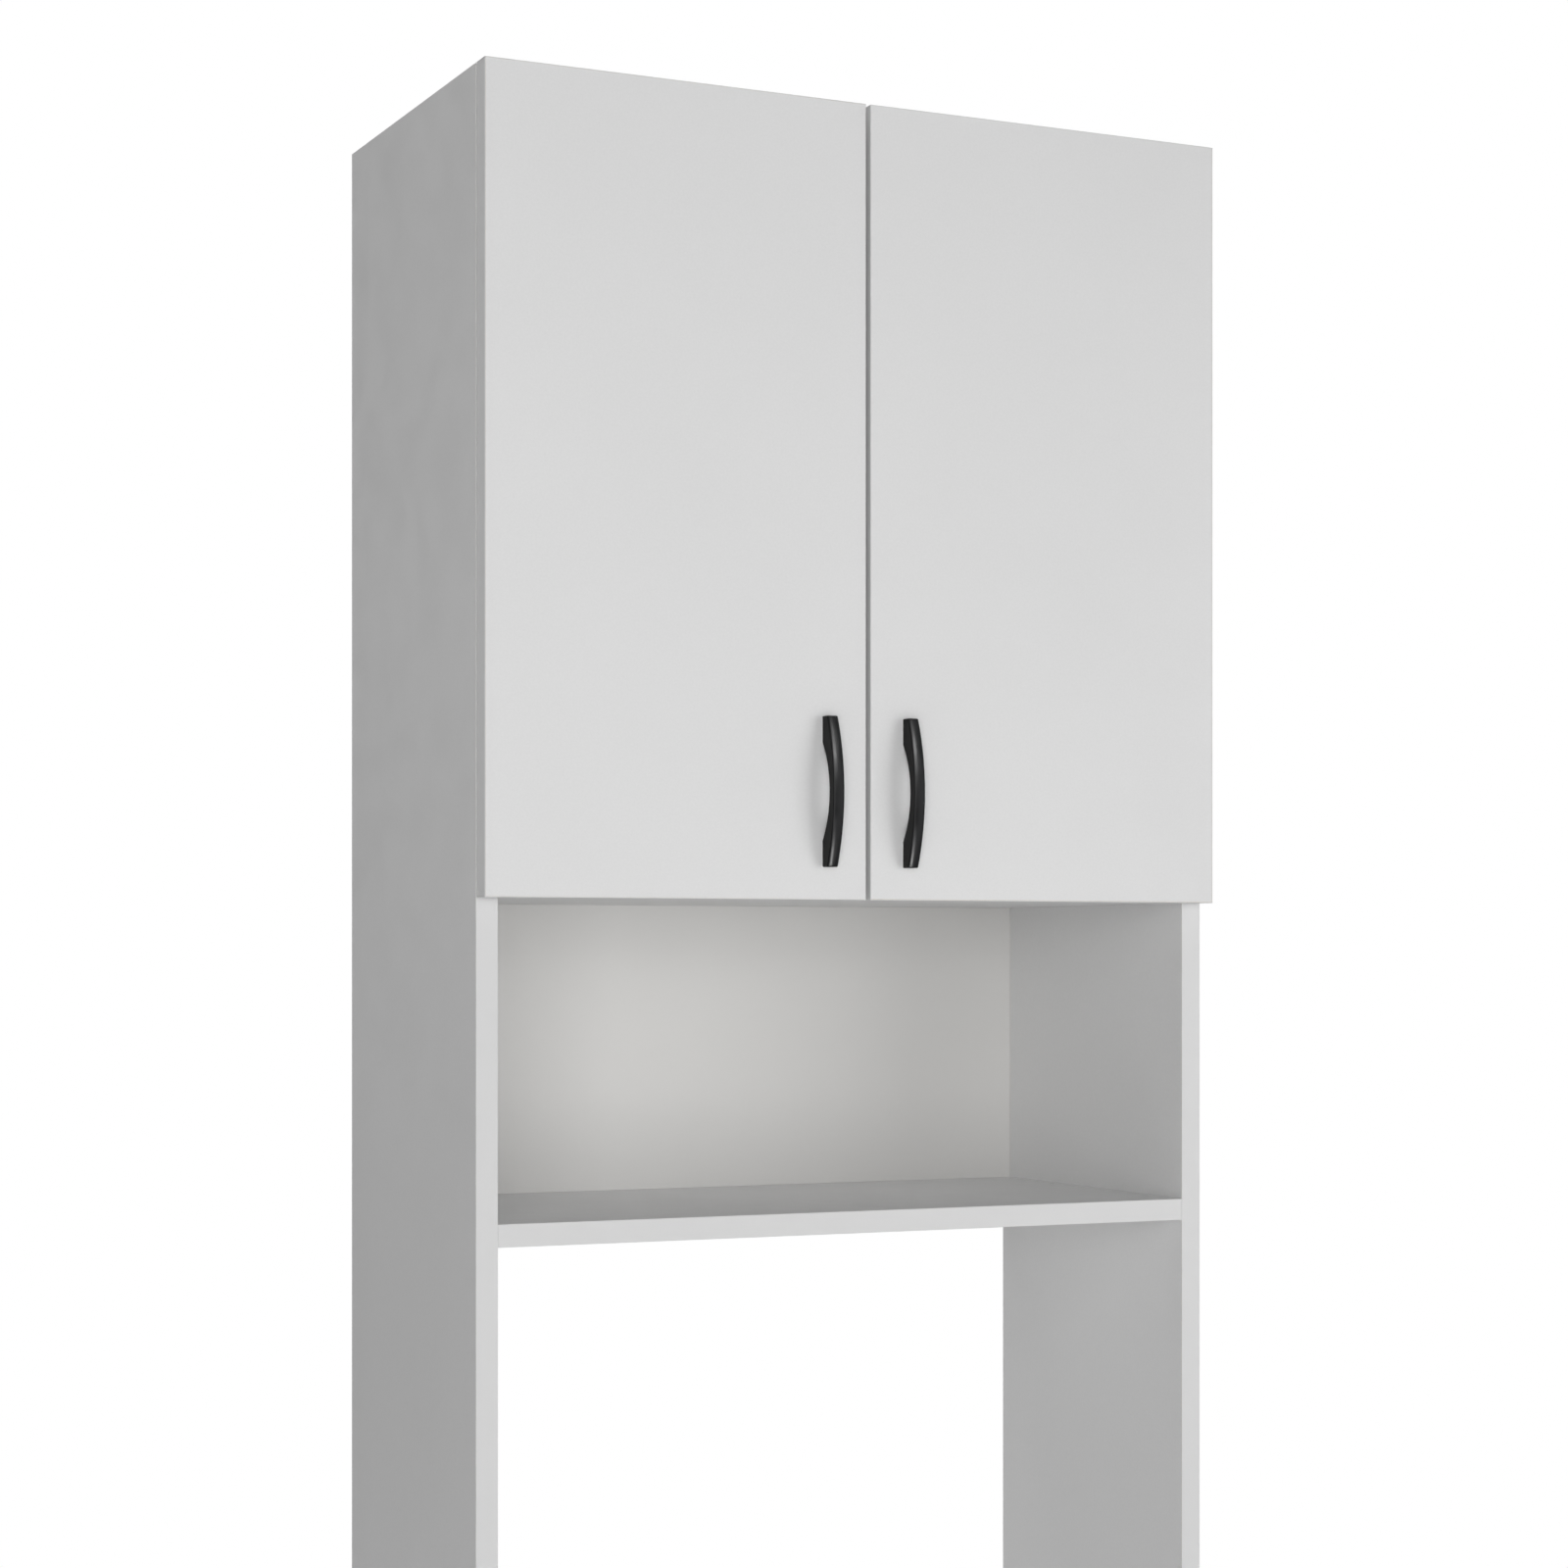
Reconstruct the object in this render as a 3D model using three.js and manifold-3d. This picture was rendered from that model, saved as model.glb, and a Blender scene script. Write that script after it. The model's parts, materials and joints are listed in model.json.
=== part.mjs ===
// A tall free-standing cabinet: an open bay below, an open niche above it and a cupboard with two
// doors on top. Millimetres, +Z up, +X to the right, doors facing -Y.
// The origin is on the floor, under the middle of the whole cabinet.

import * as THREE from 'three';
import { mergeVertices } from 'three/addons/utils/BufferGeometryUtils.js';
import Module from 'manifold-3d';

const wasm = await Module();
wasm.setup();

// Overall sizes
const WIDTH = 650;
const HEIGHT = 1775;
const CARCASS_DEPTH = 310;

// Boards
const BOARD = 18;
const DOOR_THICKNESS = 18;

// Back panel, in grooves near the rear edges of the sides, the top panel and the niche floor
const BACK_THICKNESS = 3;
const BACK_SETBACK = 10;
const GROOVE_DEPTH = 8;
const GROOVE_PLAY = 1;

// Heights of the open spaces
const BAY_HEIGHT = 870;
const NICHE_HEIGHT = 250;

// Clearances
const FIT = 0.3;
const DOOR_GAP = 2;
const DOOR_SPLIT = 4;
const OVERRUN = 1;

// Adjustable shelf and its row of holes
const SHELF_ABOVE_MIDDLE = 4.5;
const SHELF_SETBACK = 20;
const SHELF_PLAY = 1;
const HOLE_PITCH = 32;
const HOLES_EACH_WAY = 2;
const LINE_SETBACK = 37;
const PIN_DIAMETER = 4.4;
const PIN_DEPTH = 9;
const PIN_LUG_REACH = 8;
const PIN_LUG_WIDTH = 9;
const PIN_LUG_THICKNESS = 1.8;
const PIN_LUG_HEIGHT = 12;

// Rear stretcher
const STRETCHER_HEIGHT = 90;
const STRETCHER_LIFT = 120;

// Nail-on glides under the side panels
const GLIDE_DIAMETER = 16;
const GLIDE_THICKNESS = 3;
const GLIDE_CHAMFER = 1;
const GLIDE_SETBACK = 40;
const GLIDE_NAIL_DIAMETER = 2;
const GLIDE_NAIL_LENGTH = 15;

// Cam connectors, each a disc in a board and a bolt in the panel beside it
const CAM_DIAMETER = 14.4;
const CAM_THICKNESS = 12.2;
const CAM_REACH = 34;
const CAM_SETBACK = 50;
const BOLT_DIAMETER = 6;
const BOLT_THREAD_DIAMETER = 5;
const BOLT_THREAD_LENGTH = 11;

// Wall brackets
const BRACKET_WIDTH = 20;
const BRACKET_LEG = 30;
const BRACKET_THICKNESS = 2;
const BRACKET_HOLE = 5;
const BRACKET_SETBACK = 60;

// Bow handles
const HANDLE_LENGTH = 120;
const HANDLE_WIDTH = 9.5;
const HANDLE_RISE = 21;
const HANDLE_END_RISE = 9.5;
const HANDLE_BAR = 9;
const HANDLE_FOOT = 22;
const HANDLE_ROUNDING = 1.6;
const HANDLE_EDGE_DISTANCE = 34;
const HANDLE_LIFT = 26;
const HANDLE_HOLE_SPACING = 96;
const HANDLE_SCREW_DIAMETER = 4;
const HANDLE_SCREW_GRIP = 7.5;
const SCREW_HEAD_DIAMETER = 8.5;
const SCREW_HEAD_HEIGHT = 2.6;

// Concealed hinges: the cup in the door
const HINGE_END_DISTANCE = 100;
const CUP_EDGE = 5;
const CUP_BORE = 35;
const CUP_BORE_DEPTH = 12.5;
const CUP_WALL = 0.8;
const CUP_FLOOR = 0.8;
const CUP_RIM = 1.2;
const CUP_RIM_OVERLAP = 1.5;
const CUP_POCKET_WIDTH = 16;
const CUP_WING_LENGTH = 52;
const CUP_WING_WIDTH = 14;
const CUP_WING_OFFSET = 9.5;

// Concealed hinges: pivots, measured from the side panel, the carcass front or the cup
const ARM_PIVOT_HEIGHT = 13.5;
const ARM_PIVOT_SETBACK = 3.4;
const SLIDER_HEIGHT = 18.8;
const SLIDER_SETBACK = 10;
const SLOT_START_HEIGHT = 18.9;
const SLOT_START_SETBACK = 10.1;
const SLOT_END_HEIGHT = 15.2;
const SLOT_END_ADVANCE = 3;
const CUP_PIVOT_OFFSET = 12.2;
const CUP_PIVOT_DEPTH = 2.3;
const CUP_INNER_PIVOT_OFFSET = 5.1;
const CUP_INNER_PIVOT_DEPTH = 8;
const OUTER_KNEE_OFFSET = 8.8;
const OUTER_KNEE_DEPTH = 6.5;
const INNER_KNEE_OFFSET = 9.5;
const INNER_KNEE_DEPTH = 9;

// Concealed hinges: links, arm and mounting plate
const HINGE_PIN = 2.5;
const LINK_EYE = 5;
const LINK_BAR = 3.6;
const INNER_LINK_WIDTH = 4.8;
const LINK_SIDE_GAP = 0.6;
const OUTER_LINK_CHEEK = 1.8;
const ARM_SIDE_GAP = 0.5;
const ARM_CHEEK = 1.4;
const ARM_EYE = 5.4;
const SLIDER_OVERHANG = 0.5;
const ARM_SLOT_PLAY = 0.7;
const ARM_SLOT_WALL = 1;
const ARM_LENGTH = 62;
const ARM_TOP_HEIGHT = 20;
const ARM_FOOT_HEIGHT = 6.5;
const ARM_WEB = 1.4;
const PLATE_THICKNESS = 2;
const PLATE_WIDTH = 16;
const PLATE_RAIL_LENGTH = 36;
const PLATE_SCREW_DIAMETER = 5;
const PLATE_SCREW_LENGTH = 11;
const PLATE_SCREW_HEAD = 8;
const PLATE_SCREW_HEAD_HEIGHT = 2;

// Facets around round shapes
const FACETS_SMALL = 8;
const FACETS_MEDIUM = 12;
const FACETS_LARGE = 24;
const HANDLE_STEPS = 10;
const ROUNDING_STEPS = 1;

// Places that follow from the sizes. In the frame of a side, x runs inwards from the outer face
// of the side panel, y runs back from the front edge of the carcass, and z runs up from the floor.
const FRONT = (DOOR_GAP + DOOR_THICKNESS + HANDLE_RISE - CARCASS_DEPTH) / 2;
const INNER_WIDTH = WIDTH - 2 * BOARD;
const BACK_FACE = CARCASS_DEPTH - BACK_SETBACK - BACK_THICKNESS;
const GROOVE = { front: BACK_FACE - FIT, rear: BACK_FACE + BACK_THICKNESS + FIT };
const NICHE_FLOOR_Z = BAY_HEIGHT;
const CUPBOARD_FLOOR_Z = NICHE_FLOOR_Z + BOARD + NICHE_HEIGHT;
const TOP_Z = HEIGHT - BOARD;
const SHELF_Z = (CUPBOARD_FLOOR_Z + TOP_Z) / 2 + SHELF_ABOVE_MIDDLE;
const SHELF_PIN_Z = SHELF_Z - PIN_LUG_THICKNESS - PIN_DIAMETER / 2;
const DOOR_WIDTH = (WIDTH - DOOR_SPLIT) / 2;
const DOOR_BACK = -DOOR_GAP;
const DOOR_FRONT = DOOR_BACK - DOOR_THICKNESS;
const HINGE_HEIGHTS = {
  upper: HEIGHT - HINGE_END_DISTANCE,
  lower: CUPBOARD_FLOOR_Z + HINGE_END_DISTANCE,
};
const CAM_ROWS = { front: CAM_SETBACK, rear: BACK_FACE - CAM_SETBACK };
const PIN_ROWS = { front: LINE_SETBACK, rear: BACK_FACE - LINE_SETBACK };
const GLIDE_ROWS = { front: GLIDE_SETBACK, rear: CARCASS_DEPTH - GLIDE_SETBACK };

// Materials
const finish = (color, roughness, metalness) =>
  new THREE.MeshStandardMaterial({ color, roughness, metalness });
const MELAMINE = finish(0xe4e4e3, 0.5, 0);
const HARDBOARD = finish(0xdedcda, 0.6, 0);
const BLACK_GLOSS = finish(0x1c1c1e, 0.22, 0.5);
const NICKEL = finish(0xb9b6b0, 0.3, 1);
const ZINC = finish(0xa9abad, 0.4, 1);
const WHITE_PLASTIC = finish(0xe8e8e6, 0.45, 0);

// A closed geometry as a solid that can be joined and cut
function solid(geometry) {
  const bare = geometry.clone();
  bare.deleteAttribute('normal');
  bare.deleteAttribute('uv');
  const merged = mergeVertices(bare);
  return new wasm.Manifold(new wasm.Mesh({
    numProp: 3,
    vertProperties: merged.getAttribute('position').array,
    triVerts: new Uint32Array(merged.index.array),
  }));
}

// A joined and cut solid as a geometry again
function geometryOf(body) {
  const { vertProperties, triVerts } = body.getMesh();
  const geometry = new THREE.BufferGeometry();
  geometry.setAttribute('position', new THREE.BufferAttribute(vertProperties, 3));
  geometry.setIndex(new THREE.BufferAttribute(triVerts, 1));
  geometry.computeVertexNormals();
  return geometry;
}

const joined = (bodies) => bodies.reduce((all, one) => all.add(one));
const without = (body, cutters) => cutters.reduce((left, cutter) => left.subtract(cutter), body);

// A box between two opposite corners
function block(from, to) {
  const low = new THREE.Vector3(...from);
  const high = new THREE.Vector3(...to);
  const size = high.clone().sub(low);
  const center = low.add(high).divideScalar(2);
  const box = new THREE.BoxGeometry(size.x, size.y, size.z);
  return solid(box.translate(center.x, center.y, center.z));
}

// A round bar between the middles of its two ends
function rod(diameter, from, to, facets = FACETS_SMALL) {
  const start = new THREE.Vector3(...from);
  const run = new THREE.Vector3(...to).sub(start);
  const bar = new THREE.CylinderGeometry(diameter / 2, diameter / 2, run.length(), facets);
  bar.translate(0, run.length() / 2, 0);
  const turn = new THREE.Quaternion();
  turn.setFromUnitVectors(new THREE.Vector3(0, 1, 0), run.normalize());
  bar.applyQuaternion(turn);
  return solid(bar.translate(start.x, start.y, start.z));
}

// A flat bar with round ends between two points of the x-y plane, from one height to another
function strap(width, from, to, low, high, facets = FACETS_SMALL) {
  const along = Math.atan2(to.y - from.y, to.x - from.x);
  const quarter = Math.PI / 2;
  const outline = new THREE.Shape();
  outline.absarc(from.x, from.y, width / 2, along + quarter, along + 3 * quarter);
  outline.absarc(to.x, to.y, width / 2, along - quarter, along + quarter);
  const bar = new THREE.ExtrudeGeometry(outline, {
    depth: high - low,
    curveSegments: facets / 2,
    bevelEnabled: false,
  });
  return solid(bar.translate(0, 0, low));
}

// A round bar along z through a point of the x-y plane, as long both ways
const pin = (diameter, at, length, facets) =>
  rod(diameter, [at.x, at.y, -length / 2], [at.x, at.y, length / 2], facets);

// The two sides: one group as drawn, one mirrored
const cabinet = new THREE.Group();
cabinet.name = 'washing_machine_cabinet';
const middle = new THREE.Group();
const sides = { left: new THREE.Group(), right: new THREE.Group() };
middle.position.set(0, FRONT, 0);
sides.left.position.set(-WIDTH / 2, FRONT, 0);
sides.right.position.set(WIDTH / 2, FRONT, 0);
sides.right.scale.x = -1;
cabinet.add(middle, sides.left, sides.right);

// Adds a named piece to a group, at a place in that group
function place(group, name, geometry, material, at = [0, 0, 0]) {
  const mesh = new THREE.Mesh(geometry, material);
  mesh.name = name;
  mesh.position.set(...at);
  group.add(mesh);
  return mesh;
}

// Adds the same piece to the left side and, mirrored, to the right side
function placeBoth(name, geometry, material, at, turn = 0) {
  for (const [side, group] of Object.entries(sides)) {
    place(group, `${side}_${name}`, geometry, material, at).rotation.x = turn;
  }
}

// Cam connector, with its bolt along x from the inner face of the side panel at the origin, and
// its disc reaching to the +z face of a board that lies evenly about the bolt
function camConnector() {
  const face = BOARD / 2 - FIT;
  const disc = rod(CAM_DIAMETER, [CAM_REACH, 0, face - CAM_THICKNESS + FIT],
    [CAM_REACH, 0, face], FACETS_MEDIUM);
  const bolt = rod(BOLT_DIAMETER, [FIT, 0, 0], [CAM_REACH, 0, 0]);
  const thread = rod(BOLT_THREAD_DIAMETER, [-BOLT_THREAD_LENGTH, 0, 0], [CAM_REACH, 0, 0]);
  return geometryOf(joined([disc, bolt, thread]));
}

// The bores that a cam connector needs in its board, about the same origin
function camBores() {
  const face = BOARD / 2;
  const disc = rod(CAM_DIAMETER + 2 * FIT, [CAM_REACH, 0, face - CAM_THICKNESS - FIT],
    [CAM_REACH, 0, face + OVERRUN], FACETS_MEDIUM);
  const bolt = rod(BOLT_DIAMETER + 2 * FIT, [-OVERRUN, 0, 0], [CAM_REACH, 0, 0]);
  return disc.add(bolt);
}

// The blind hole for the bolt's thread in the side panel, at a depth and a height
const threadHole = (y, z) =>
  rod(BOLT_THREAD_DIAMETER + 2 * FIT, [BOARD - BOLT_THREAD_LENGTH - FIT, y, z],
    [BOARD + OVERRUN, y, z]);

// The groove for the back panel in the upper or the lower face of a board
function boardGroove(bottom, face) {
  const half = INNER_WIDTH / 2 + OVERRUN;
  const top = bottom + BOARD;
  const [low, high] = face === 'up'
    ? [top - GROOVE_DEPTH, top + OVERRUN]
    : [bottom - OVERRUN, bottom + GROOVE_DEPTH];
  return block([-half, GROOVE.front, low], [half, GROOVE.rear, high]);
}

// A board from side to side with its underside at a height, bored at both ends for cams that open
// upwards or downwards. One with no groove stops in front of the back panel.
function boredBoard(bottom, opening, groove) {
  const half = INNER_WIDTH / 2;
  const depth = groove ? CARCASS_DEPTH : BACK_FACE - FIT;
  const board = block([-half, 0, bottom], [half, depth, bottom + BOARD]);
  const cutters = groove ? [boardGroove(bottom, groove)] : [];
  for (const y of Object.values(CAM_ROWS)) {
    const bores = camBores();
    const turned = opening === 'up' ? bores : bores.mirror([0, 0, 1]);
    const middleZ = bottom + BOARD / 2;
    cutters.push(turned.translate([-half, y, middleZ]));
    cutters.push(turned.mirror([1, 0, 0]).translate([half, y, middleZ]));
  }
  return geometryOf(without(board, cutters));
}

// Boards that cam connectors hold: the height of each underside, which way its cams open and
// which of its faces is grooved
const HELD_BOARDS = {
  top: { node: 'top_panel', z: TOP_Z, opening: 'down', groove: 'down' },
  cupboard: { node: 'cupboard_floor', z: CUPBOARD_FLOOR_Z, opening: 'up' },
  niche: { node: 'niche_floor', z: NICHE_FLOOR_Z, opening: 'down', groove: 'up' },
};

function addHeldBoards() {
  const connector = camConnector();
  for (const [key, { node, z, opening, groove }] of Object.entries(HELD_BOARDS)) {
    place(middle, node, boredBoard(z, opening, groove), MELAMINE);
    for (const [row, y] of Object.entries(CAM_ROWS)) {
      const turn = opening === 'up' ? 0 : Math.PI;
      placeBoth(`${key}_${row}_cam`, connector, ZINC, [BOARD, y, z + BOARD / 2], turn);
    }
  }
}

// Rear stretcher across the bottom of the bay, with its cams opening to the wall
function addStretcher() {
  const y = CARCASS_DEPTH - BOARD / 2;
  const z = STRETCHER_LIFT + STRETCHER_HEIGHT / 2;
  const rail = block([-INNER_WIDTH / 2, CARCASS_DEPTH - BOARD, STRETCHER_LIFT],
    [INNER_WIDTH / 2, CARCASS_DEPTH, STRETCHER_LIFT + STRETCHER_HEIGHT]);
  const bores = camBores().rotate([-90, 0, 0]);
  const left = bores.translate([-INNER_WIDTH / 2, y, z]);
  const right = bores.mirror([1, 0, 0]).translate([INNER_WIDTH / 2, y, z]);
  place(middle, 'rear_stretcher', geometryOf(without(rail, [left, right])), MELAMINE);
  placeBoth('stretcher_cam', camConnector(), ZINC, [BOARD, y, z], -Math.PI / 2);
}

// Side panel, with its groove and every hole that is drilled into its inner face and bottom edge
function sidePanel() {
  const board = block([0, 0, GLIDE_THICKNESS], [BOARD, CARCASS_DEPTH, HEIGHT]);
  const groove = block([BOARD - GROOVE_DEPTH, GROOVE.front, NICHE_FLOOR_Z + BOARD - GROOVE_DEPTH],
    [BOARD + OVERRUN, GROOVE.rear, TOP_Z + GROOVE_DEPTH]);
  const cutters = [groove];
  for (const { z } of Object.values(HELD_BOARDS)) {
    for (const y of Object.values(CAM_ROWS)) {
      cutters.push(threadHole(y, z + BOARD / 2));
    }
  }
  cutters.push(threadHole(CARCASS_DEPTH - BOARD / 2, STRETCHER_LIFT + STRETCHER_HEIGHT / 2));
  for (const y of Object.values(PIN_ROWS)) {
    for (let step = -HOLES_EACH_WAY; step <= HOLES_EACH_WAY; step += 1) {
      const z = SHELF_PIN_Z + step * HOLE_PITCH;
      cutters.push(rod(PIN_DIAMETER + 2 * FIT, [BOARD - PIN_DEPTH - FIT, y, z],
        [BOARD + OVERRUN, y, z]));
    }
  }
  for (const hinge of Object.values(HINGE_HEIGHTS)) {
    for (const end of [-1, 1]) {
      const z = hinge + end * HOLE_PITCH / 2;
      cutters.push(rod(PLATE_SCREW_DIAMETER + 2 * FIT,
        [BOARD - PLATE_SCREW_LENGTH - FIT, LINE_SETBACK, z], [BOARD + OVERRUN, LINE_SETBACK, z]));
    }
  }
  for (const y of Object.values(GLIDE_ROWS)) {
    cutters.push(rod(GLIDE_NAIL_DIAMETER + 2 * FIT, [BOARD / 2, y, GLIDE_THICKNESS - OVERRUN],
      [BOARD / 2, y, GLIDE_THICKNESS + GLIDE_NAIL_LENGTH + FIT]));
  }
  return geometryOf(without(board, cutters));
}

// Adjustable shelf and the four lugs under its corners
function shelfPin() {
  const peg = rod(PIN_DIAMETER, [-PIN_DEPTH, 0, 0], [PIN_LUG_THICKNESS / 2, 0, 0]);
  const top = PIN_DIAMETER / 2 + PIN_LUG_THICKNESS;
  const cheek = block([0, -PIN_LUG_WIDTH / 2, top - PIN_LUG_HEIGHT],
    [PIN_LUG_THICKNESS, PIN_LUG_WIDTH / 2, top]);
  const seat = block([0, -PIN_LUG_WIDTH / 2, top - PIN_LUG_THICKNESS],
    [PIN_LUG_REACH, PIN_LUG_WIDTH / 2, top]);
  const gusset = new THREE.Shape([
    new THREE.Vector2(PIN_LUG_THICKNESS / 2, top - PIN_LUG_HEIGHT),
    new THREE.Vector2(PIN_LUG_THICKNESS, top - PIN_LUG_HEIGHT),
    new THREE.Vector2(PIN_LUG_REACH, top - PIN_LUG_THICKNESS),
    new THREE.Vector2(PIN_LUG_THICKNESS / 2, top - PIN_LUG_THICKNESS / 2),
  ]);
  const rib = new THREE.ExtrudeGeometry(gusset, { depth: PIN_LUG_THICKNESS, bevelEnabled: false });
  rib.rotateX(Math.PI / 2).translate(0, PIN_LUG_THICKNESS / 2, 0);
  return geometryOf(joined([peg, cheek, seat, solid(rib)]));
}

function addShelf() {
  const half = INNER_WIDTH / 2 - SHELF_PLAY;
  const board = block([-half, SHELF_SETBACK, SHELF_Z],
    [half, BACK_FACE - SHELF_PLAY, SHELF_Z + BOARD]);
  place(middle, 'cupboard_shelf', geometryOf(board), MELAMINE);
  const pinGeometry = shelfPin();
  for (const [row, y] of Object.entries(PIN_ROWS)) {
    placeBoth(`${row}_shelf_pin`, pinGeometry, NICKEL, [BOARD, y, SHELF_PIN_Z]);
  }
}

// Glide with its nail, standing on the floor
function glide() {
  const radius = GLIDE_DIAMETER / 2;
  const profile = [
    new THREE.Vector2(0, 0),
    new THREE.Vector2(radius - GLIDE_CHAMFER, 0),
    new THREE.Vector2(radius, GLIDE_CHAMFER),
    new THREE.Vector2(radius, GLIDE_THICKNESS),
    new THREE.Vector2(0, GLIDE_THICKNESS),
  ];
  const disc = new THREE.LatheGeometry(profile, FACETS_MEDIUM).rotateX(Math.PI / 2);
  const nail = rod(GLIDE_NAIL_DIAMETER, [0, 0, GLIDE_THICKNESS / 2],
    [0, 0, GLIDE_THICKNESS + GLIDE_NAIL_LENGTH]);
  return geometryOf(solid(disc).add(nail));
}

function addGlides() {
  const geometry = glide();
  for (const [row, y] of Object.entries(GLIDE_ROWS)) {
    placeBoth(`${row}_glide`, geometry, WHITE_PLASTIC, [BOARD / 2, y, 0]);
  }
}

// Wall brackets in the top rear corner of the cupboard, and the back panel that their wall screws
// pass through
const BRACKET_X = BOARD + BRACKET_SETBACK;
const BRACKET_HOLE_DROP = (BRACKET_LEG + BRACKET_THICKNESS) / 2;

function wallBracket() {
  const plate = block([-BRACKET_WIDTH / 2, -BRACKET_THICKNESS, -BRACKET_LEG],
    [BRACKET_WIDTH / 2, 0, 0]);
  const shelf = block([-BRACKET_WIDTH / 2, -BRACKET_LEG, -BRACKET_THICKNESS],
    [BRACKET_WIDTH / 2, 0, 0]);
  const wallHole = rod(BRACKET_HOLE, [0, OVERRUN, -BRACKET_HOLE_DROP],
    [0, -BRACKET_THICKNESS - OVERRUN, -BRACKET_HOLE_DROP]);
  const topHole = rod(BRACKET_HOLE, [0, -BRACKET_HOLE_DROP, OVERRUN],
    [0, -BRACKET_HOLE_DROP, -BRACKET_THICKNESS - OVERRUN]);
  return geometryOf(without(plate.add(shelf), [wallHole, topHole]));
}

function addBack() {
  const tongue = GROOVE_DEPTH - GROOVE_PLAY;
  const half = INNER_WIDTH / 2 + tongue;
  const rear = BACK_FACE + BACK_THICKNESS;
  const sheet = block([-half, BACK_FACE, NICHE_FLOOR_Z + BOARD - tongue],
    [half, rear, TOP_Z + tongue]);
  const holes = [-1, 1].map((side) => {
    const x = side * (WIDTH / 2 - BRACKET_X);
    const z = TOP_Z - BRACKET_HOLE_DROP;
    return rod(BRACKET_HOLE, [x, BACK_FACE - OVERRUN, z], [x, rear + OVERRUN, z]);
  });
  place(middle, 'back_panel', geometryOf(without(sheet, holes)), HARDBOARD);
  placeBoth('wall_bracket', wallBracket(), ZINC, [BRACKET_X, BACK_FACE, TOP_Z]);
}

// Pivots of a concealed hinge in the x-y plane of its side
const point = (x, y) => new THREE.Vector2(x, y);
const CUP_X = CUP_EDGE + CUP_BORE / 2;
const inCup = (offset, depth) => point(CUP_X + offset, DOOR_BACK - depth);
const ARM_PIVOT = point(BOARD + ARM_PIVOT_HEIGHT, ARM_PIVOT_SETBACK);
const SLIDER = point(BOARD + SLIDER_HEIGHT, SLIDER_SETBACK);
const SLOT_START = point(BOARD + SLOT_START_HEIGHT, SLOT_START_SETBACK);
const SLOT_END = point(BOARD + SLOT_END_HEIGHT, -SLOT_END_ADVANCE);
const CUP_PIVOT = inCup(-CUP_PIVOT_OFFSET, CUP_PIVOT_DEPTH);
const CUP_INNER_PIVOT = inCup(-CUP_INNER_PIVOT_OFFSET, CUP_INNER_PIVOT_DEPTH);
const OUTER_KNEE = inCup(-OUTER_KNEE_OFFSET, OUTER_KNEE_DEPTH);
const INNER_KNEE = inCup(INNER_KNEE_OFFSET, INNER_KNEE_DEPTH);

// Half widths of the hinge's layers, from the middle outwards
const INNER_LINK_HALF = INNER_LINK_WIDTH / 2;
const OUTER_LINK_INSIDE = INNER_LINK_HALF + LINK_SIDE_GAP;
const OUTER_LINK_OUTSIDE = OUTER_LINK_INSIDE + OUTER_LINK_CHEEK;
const ARM_INSIDE = OUTER_LINK_OUTSIDE + ARM_SIDE_GAP;
const ARM_OUTSIDE = ARM_INSIDE + ARM_CHEEK;
const PIN_HOLE = HINGE_PIN + 2 * FIT;

// Cup pressed into the door, with its two pins across the pocket
function hingeCup() {
  const bottom = DOOR_BACK - CUP_BORE_DEPTH + FIT;
  const rimFace = DOOR_BACK + CUP_RIM;
  const outside = CUP_BORE - 2 * FIT;
  const barrel = rod(outside, [CUP_X, bottom, 0], [CUP_X, rimFace, 0], FACETS_LARGE);
  const rim = rod(CUP_BORE + 2 * CUP_RIM_OVERLAP, [CUP_X, DOOR_BACK, 0], [CUP_X, rimFace, 0],
    FACETS_LARGE);
  const wingX = CUP_X + CUP_WING_OFFSET;
  const wingEnd = (CUP_WING_LENGTH - CUP_WING_WIDTH) / 2;
  const wing = strap(CUP_WING_WIDTH, point(wingX, -wingEnd), point(wingX, wingEnd),
    -rimFace, -DOOR_BACK).rotate([90, 0, 0]);
  const hollow = rod(outside - 2 * CUP_WALL, [CUP_X, bottom + CUP_FLOOR, 0],
    [CUP_X, rimFace + OVERRUN, 0], FACETS_LARGE);
  const band = block([0, bottom, -CUP_POCKET_WIDTH / 2],
    [CUP_X + CUP_BORE, rimFace + 2 * OVERRUN, CUP_POCKET_WIDTH / 2]);
  const shell = joined([barrel, rim, wing]).subtract(hollow.intersect(band));
  const pinLength = CUP_POCKET_WIDTH + 2 * CUP_WALL;
  const pins = [CUP_PIVOT, CUP_INNER_PIVOT].map((at) => pin(HINGE_PIN, at, pinLength));
  return geometryOf(joined([shell, ...pins]));
}

// Outer link: two hooked cheeks on a knuckle that turns in the cup
function outerLink() {
  const layer = [OUTER_LINK_INSIDE, OUTER_LINK_OUTSIDE];
  const cheek = joined([
    strap(LINK_BAR, CUP_PIVOT, OUTER_KNEE, ...layer),
    strap(LINK_BAR, OUTER_KNEE, ARM_PIVOT, ...layer),
    strap(LINK_EYE, ARM_PIVOT, ARM_PIVOT, ...layer),
  ]);
  const knuckle = pin(LINK_EYE, CUP_PIVOT, 2 * OUTER_LINK_OUTSIDE);
  const body = joined([cheek, cheek.mirror([0, 0, 1]), knuckle]);
  const through = 2 * (OUTER_LINK_OUTSIDE + OVERRUN);
  return geometryOf(without(body, [
    pin(PIN_HOLE, CUP_PIVOT, through),
    pin(PIN_HOLE, ARM_PIVOT, through),
  ]));
}

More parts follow.
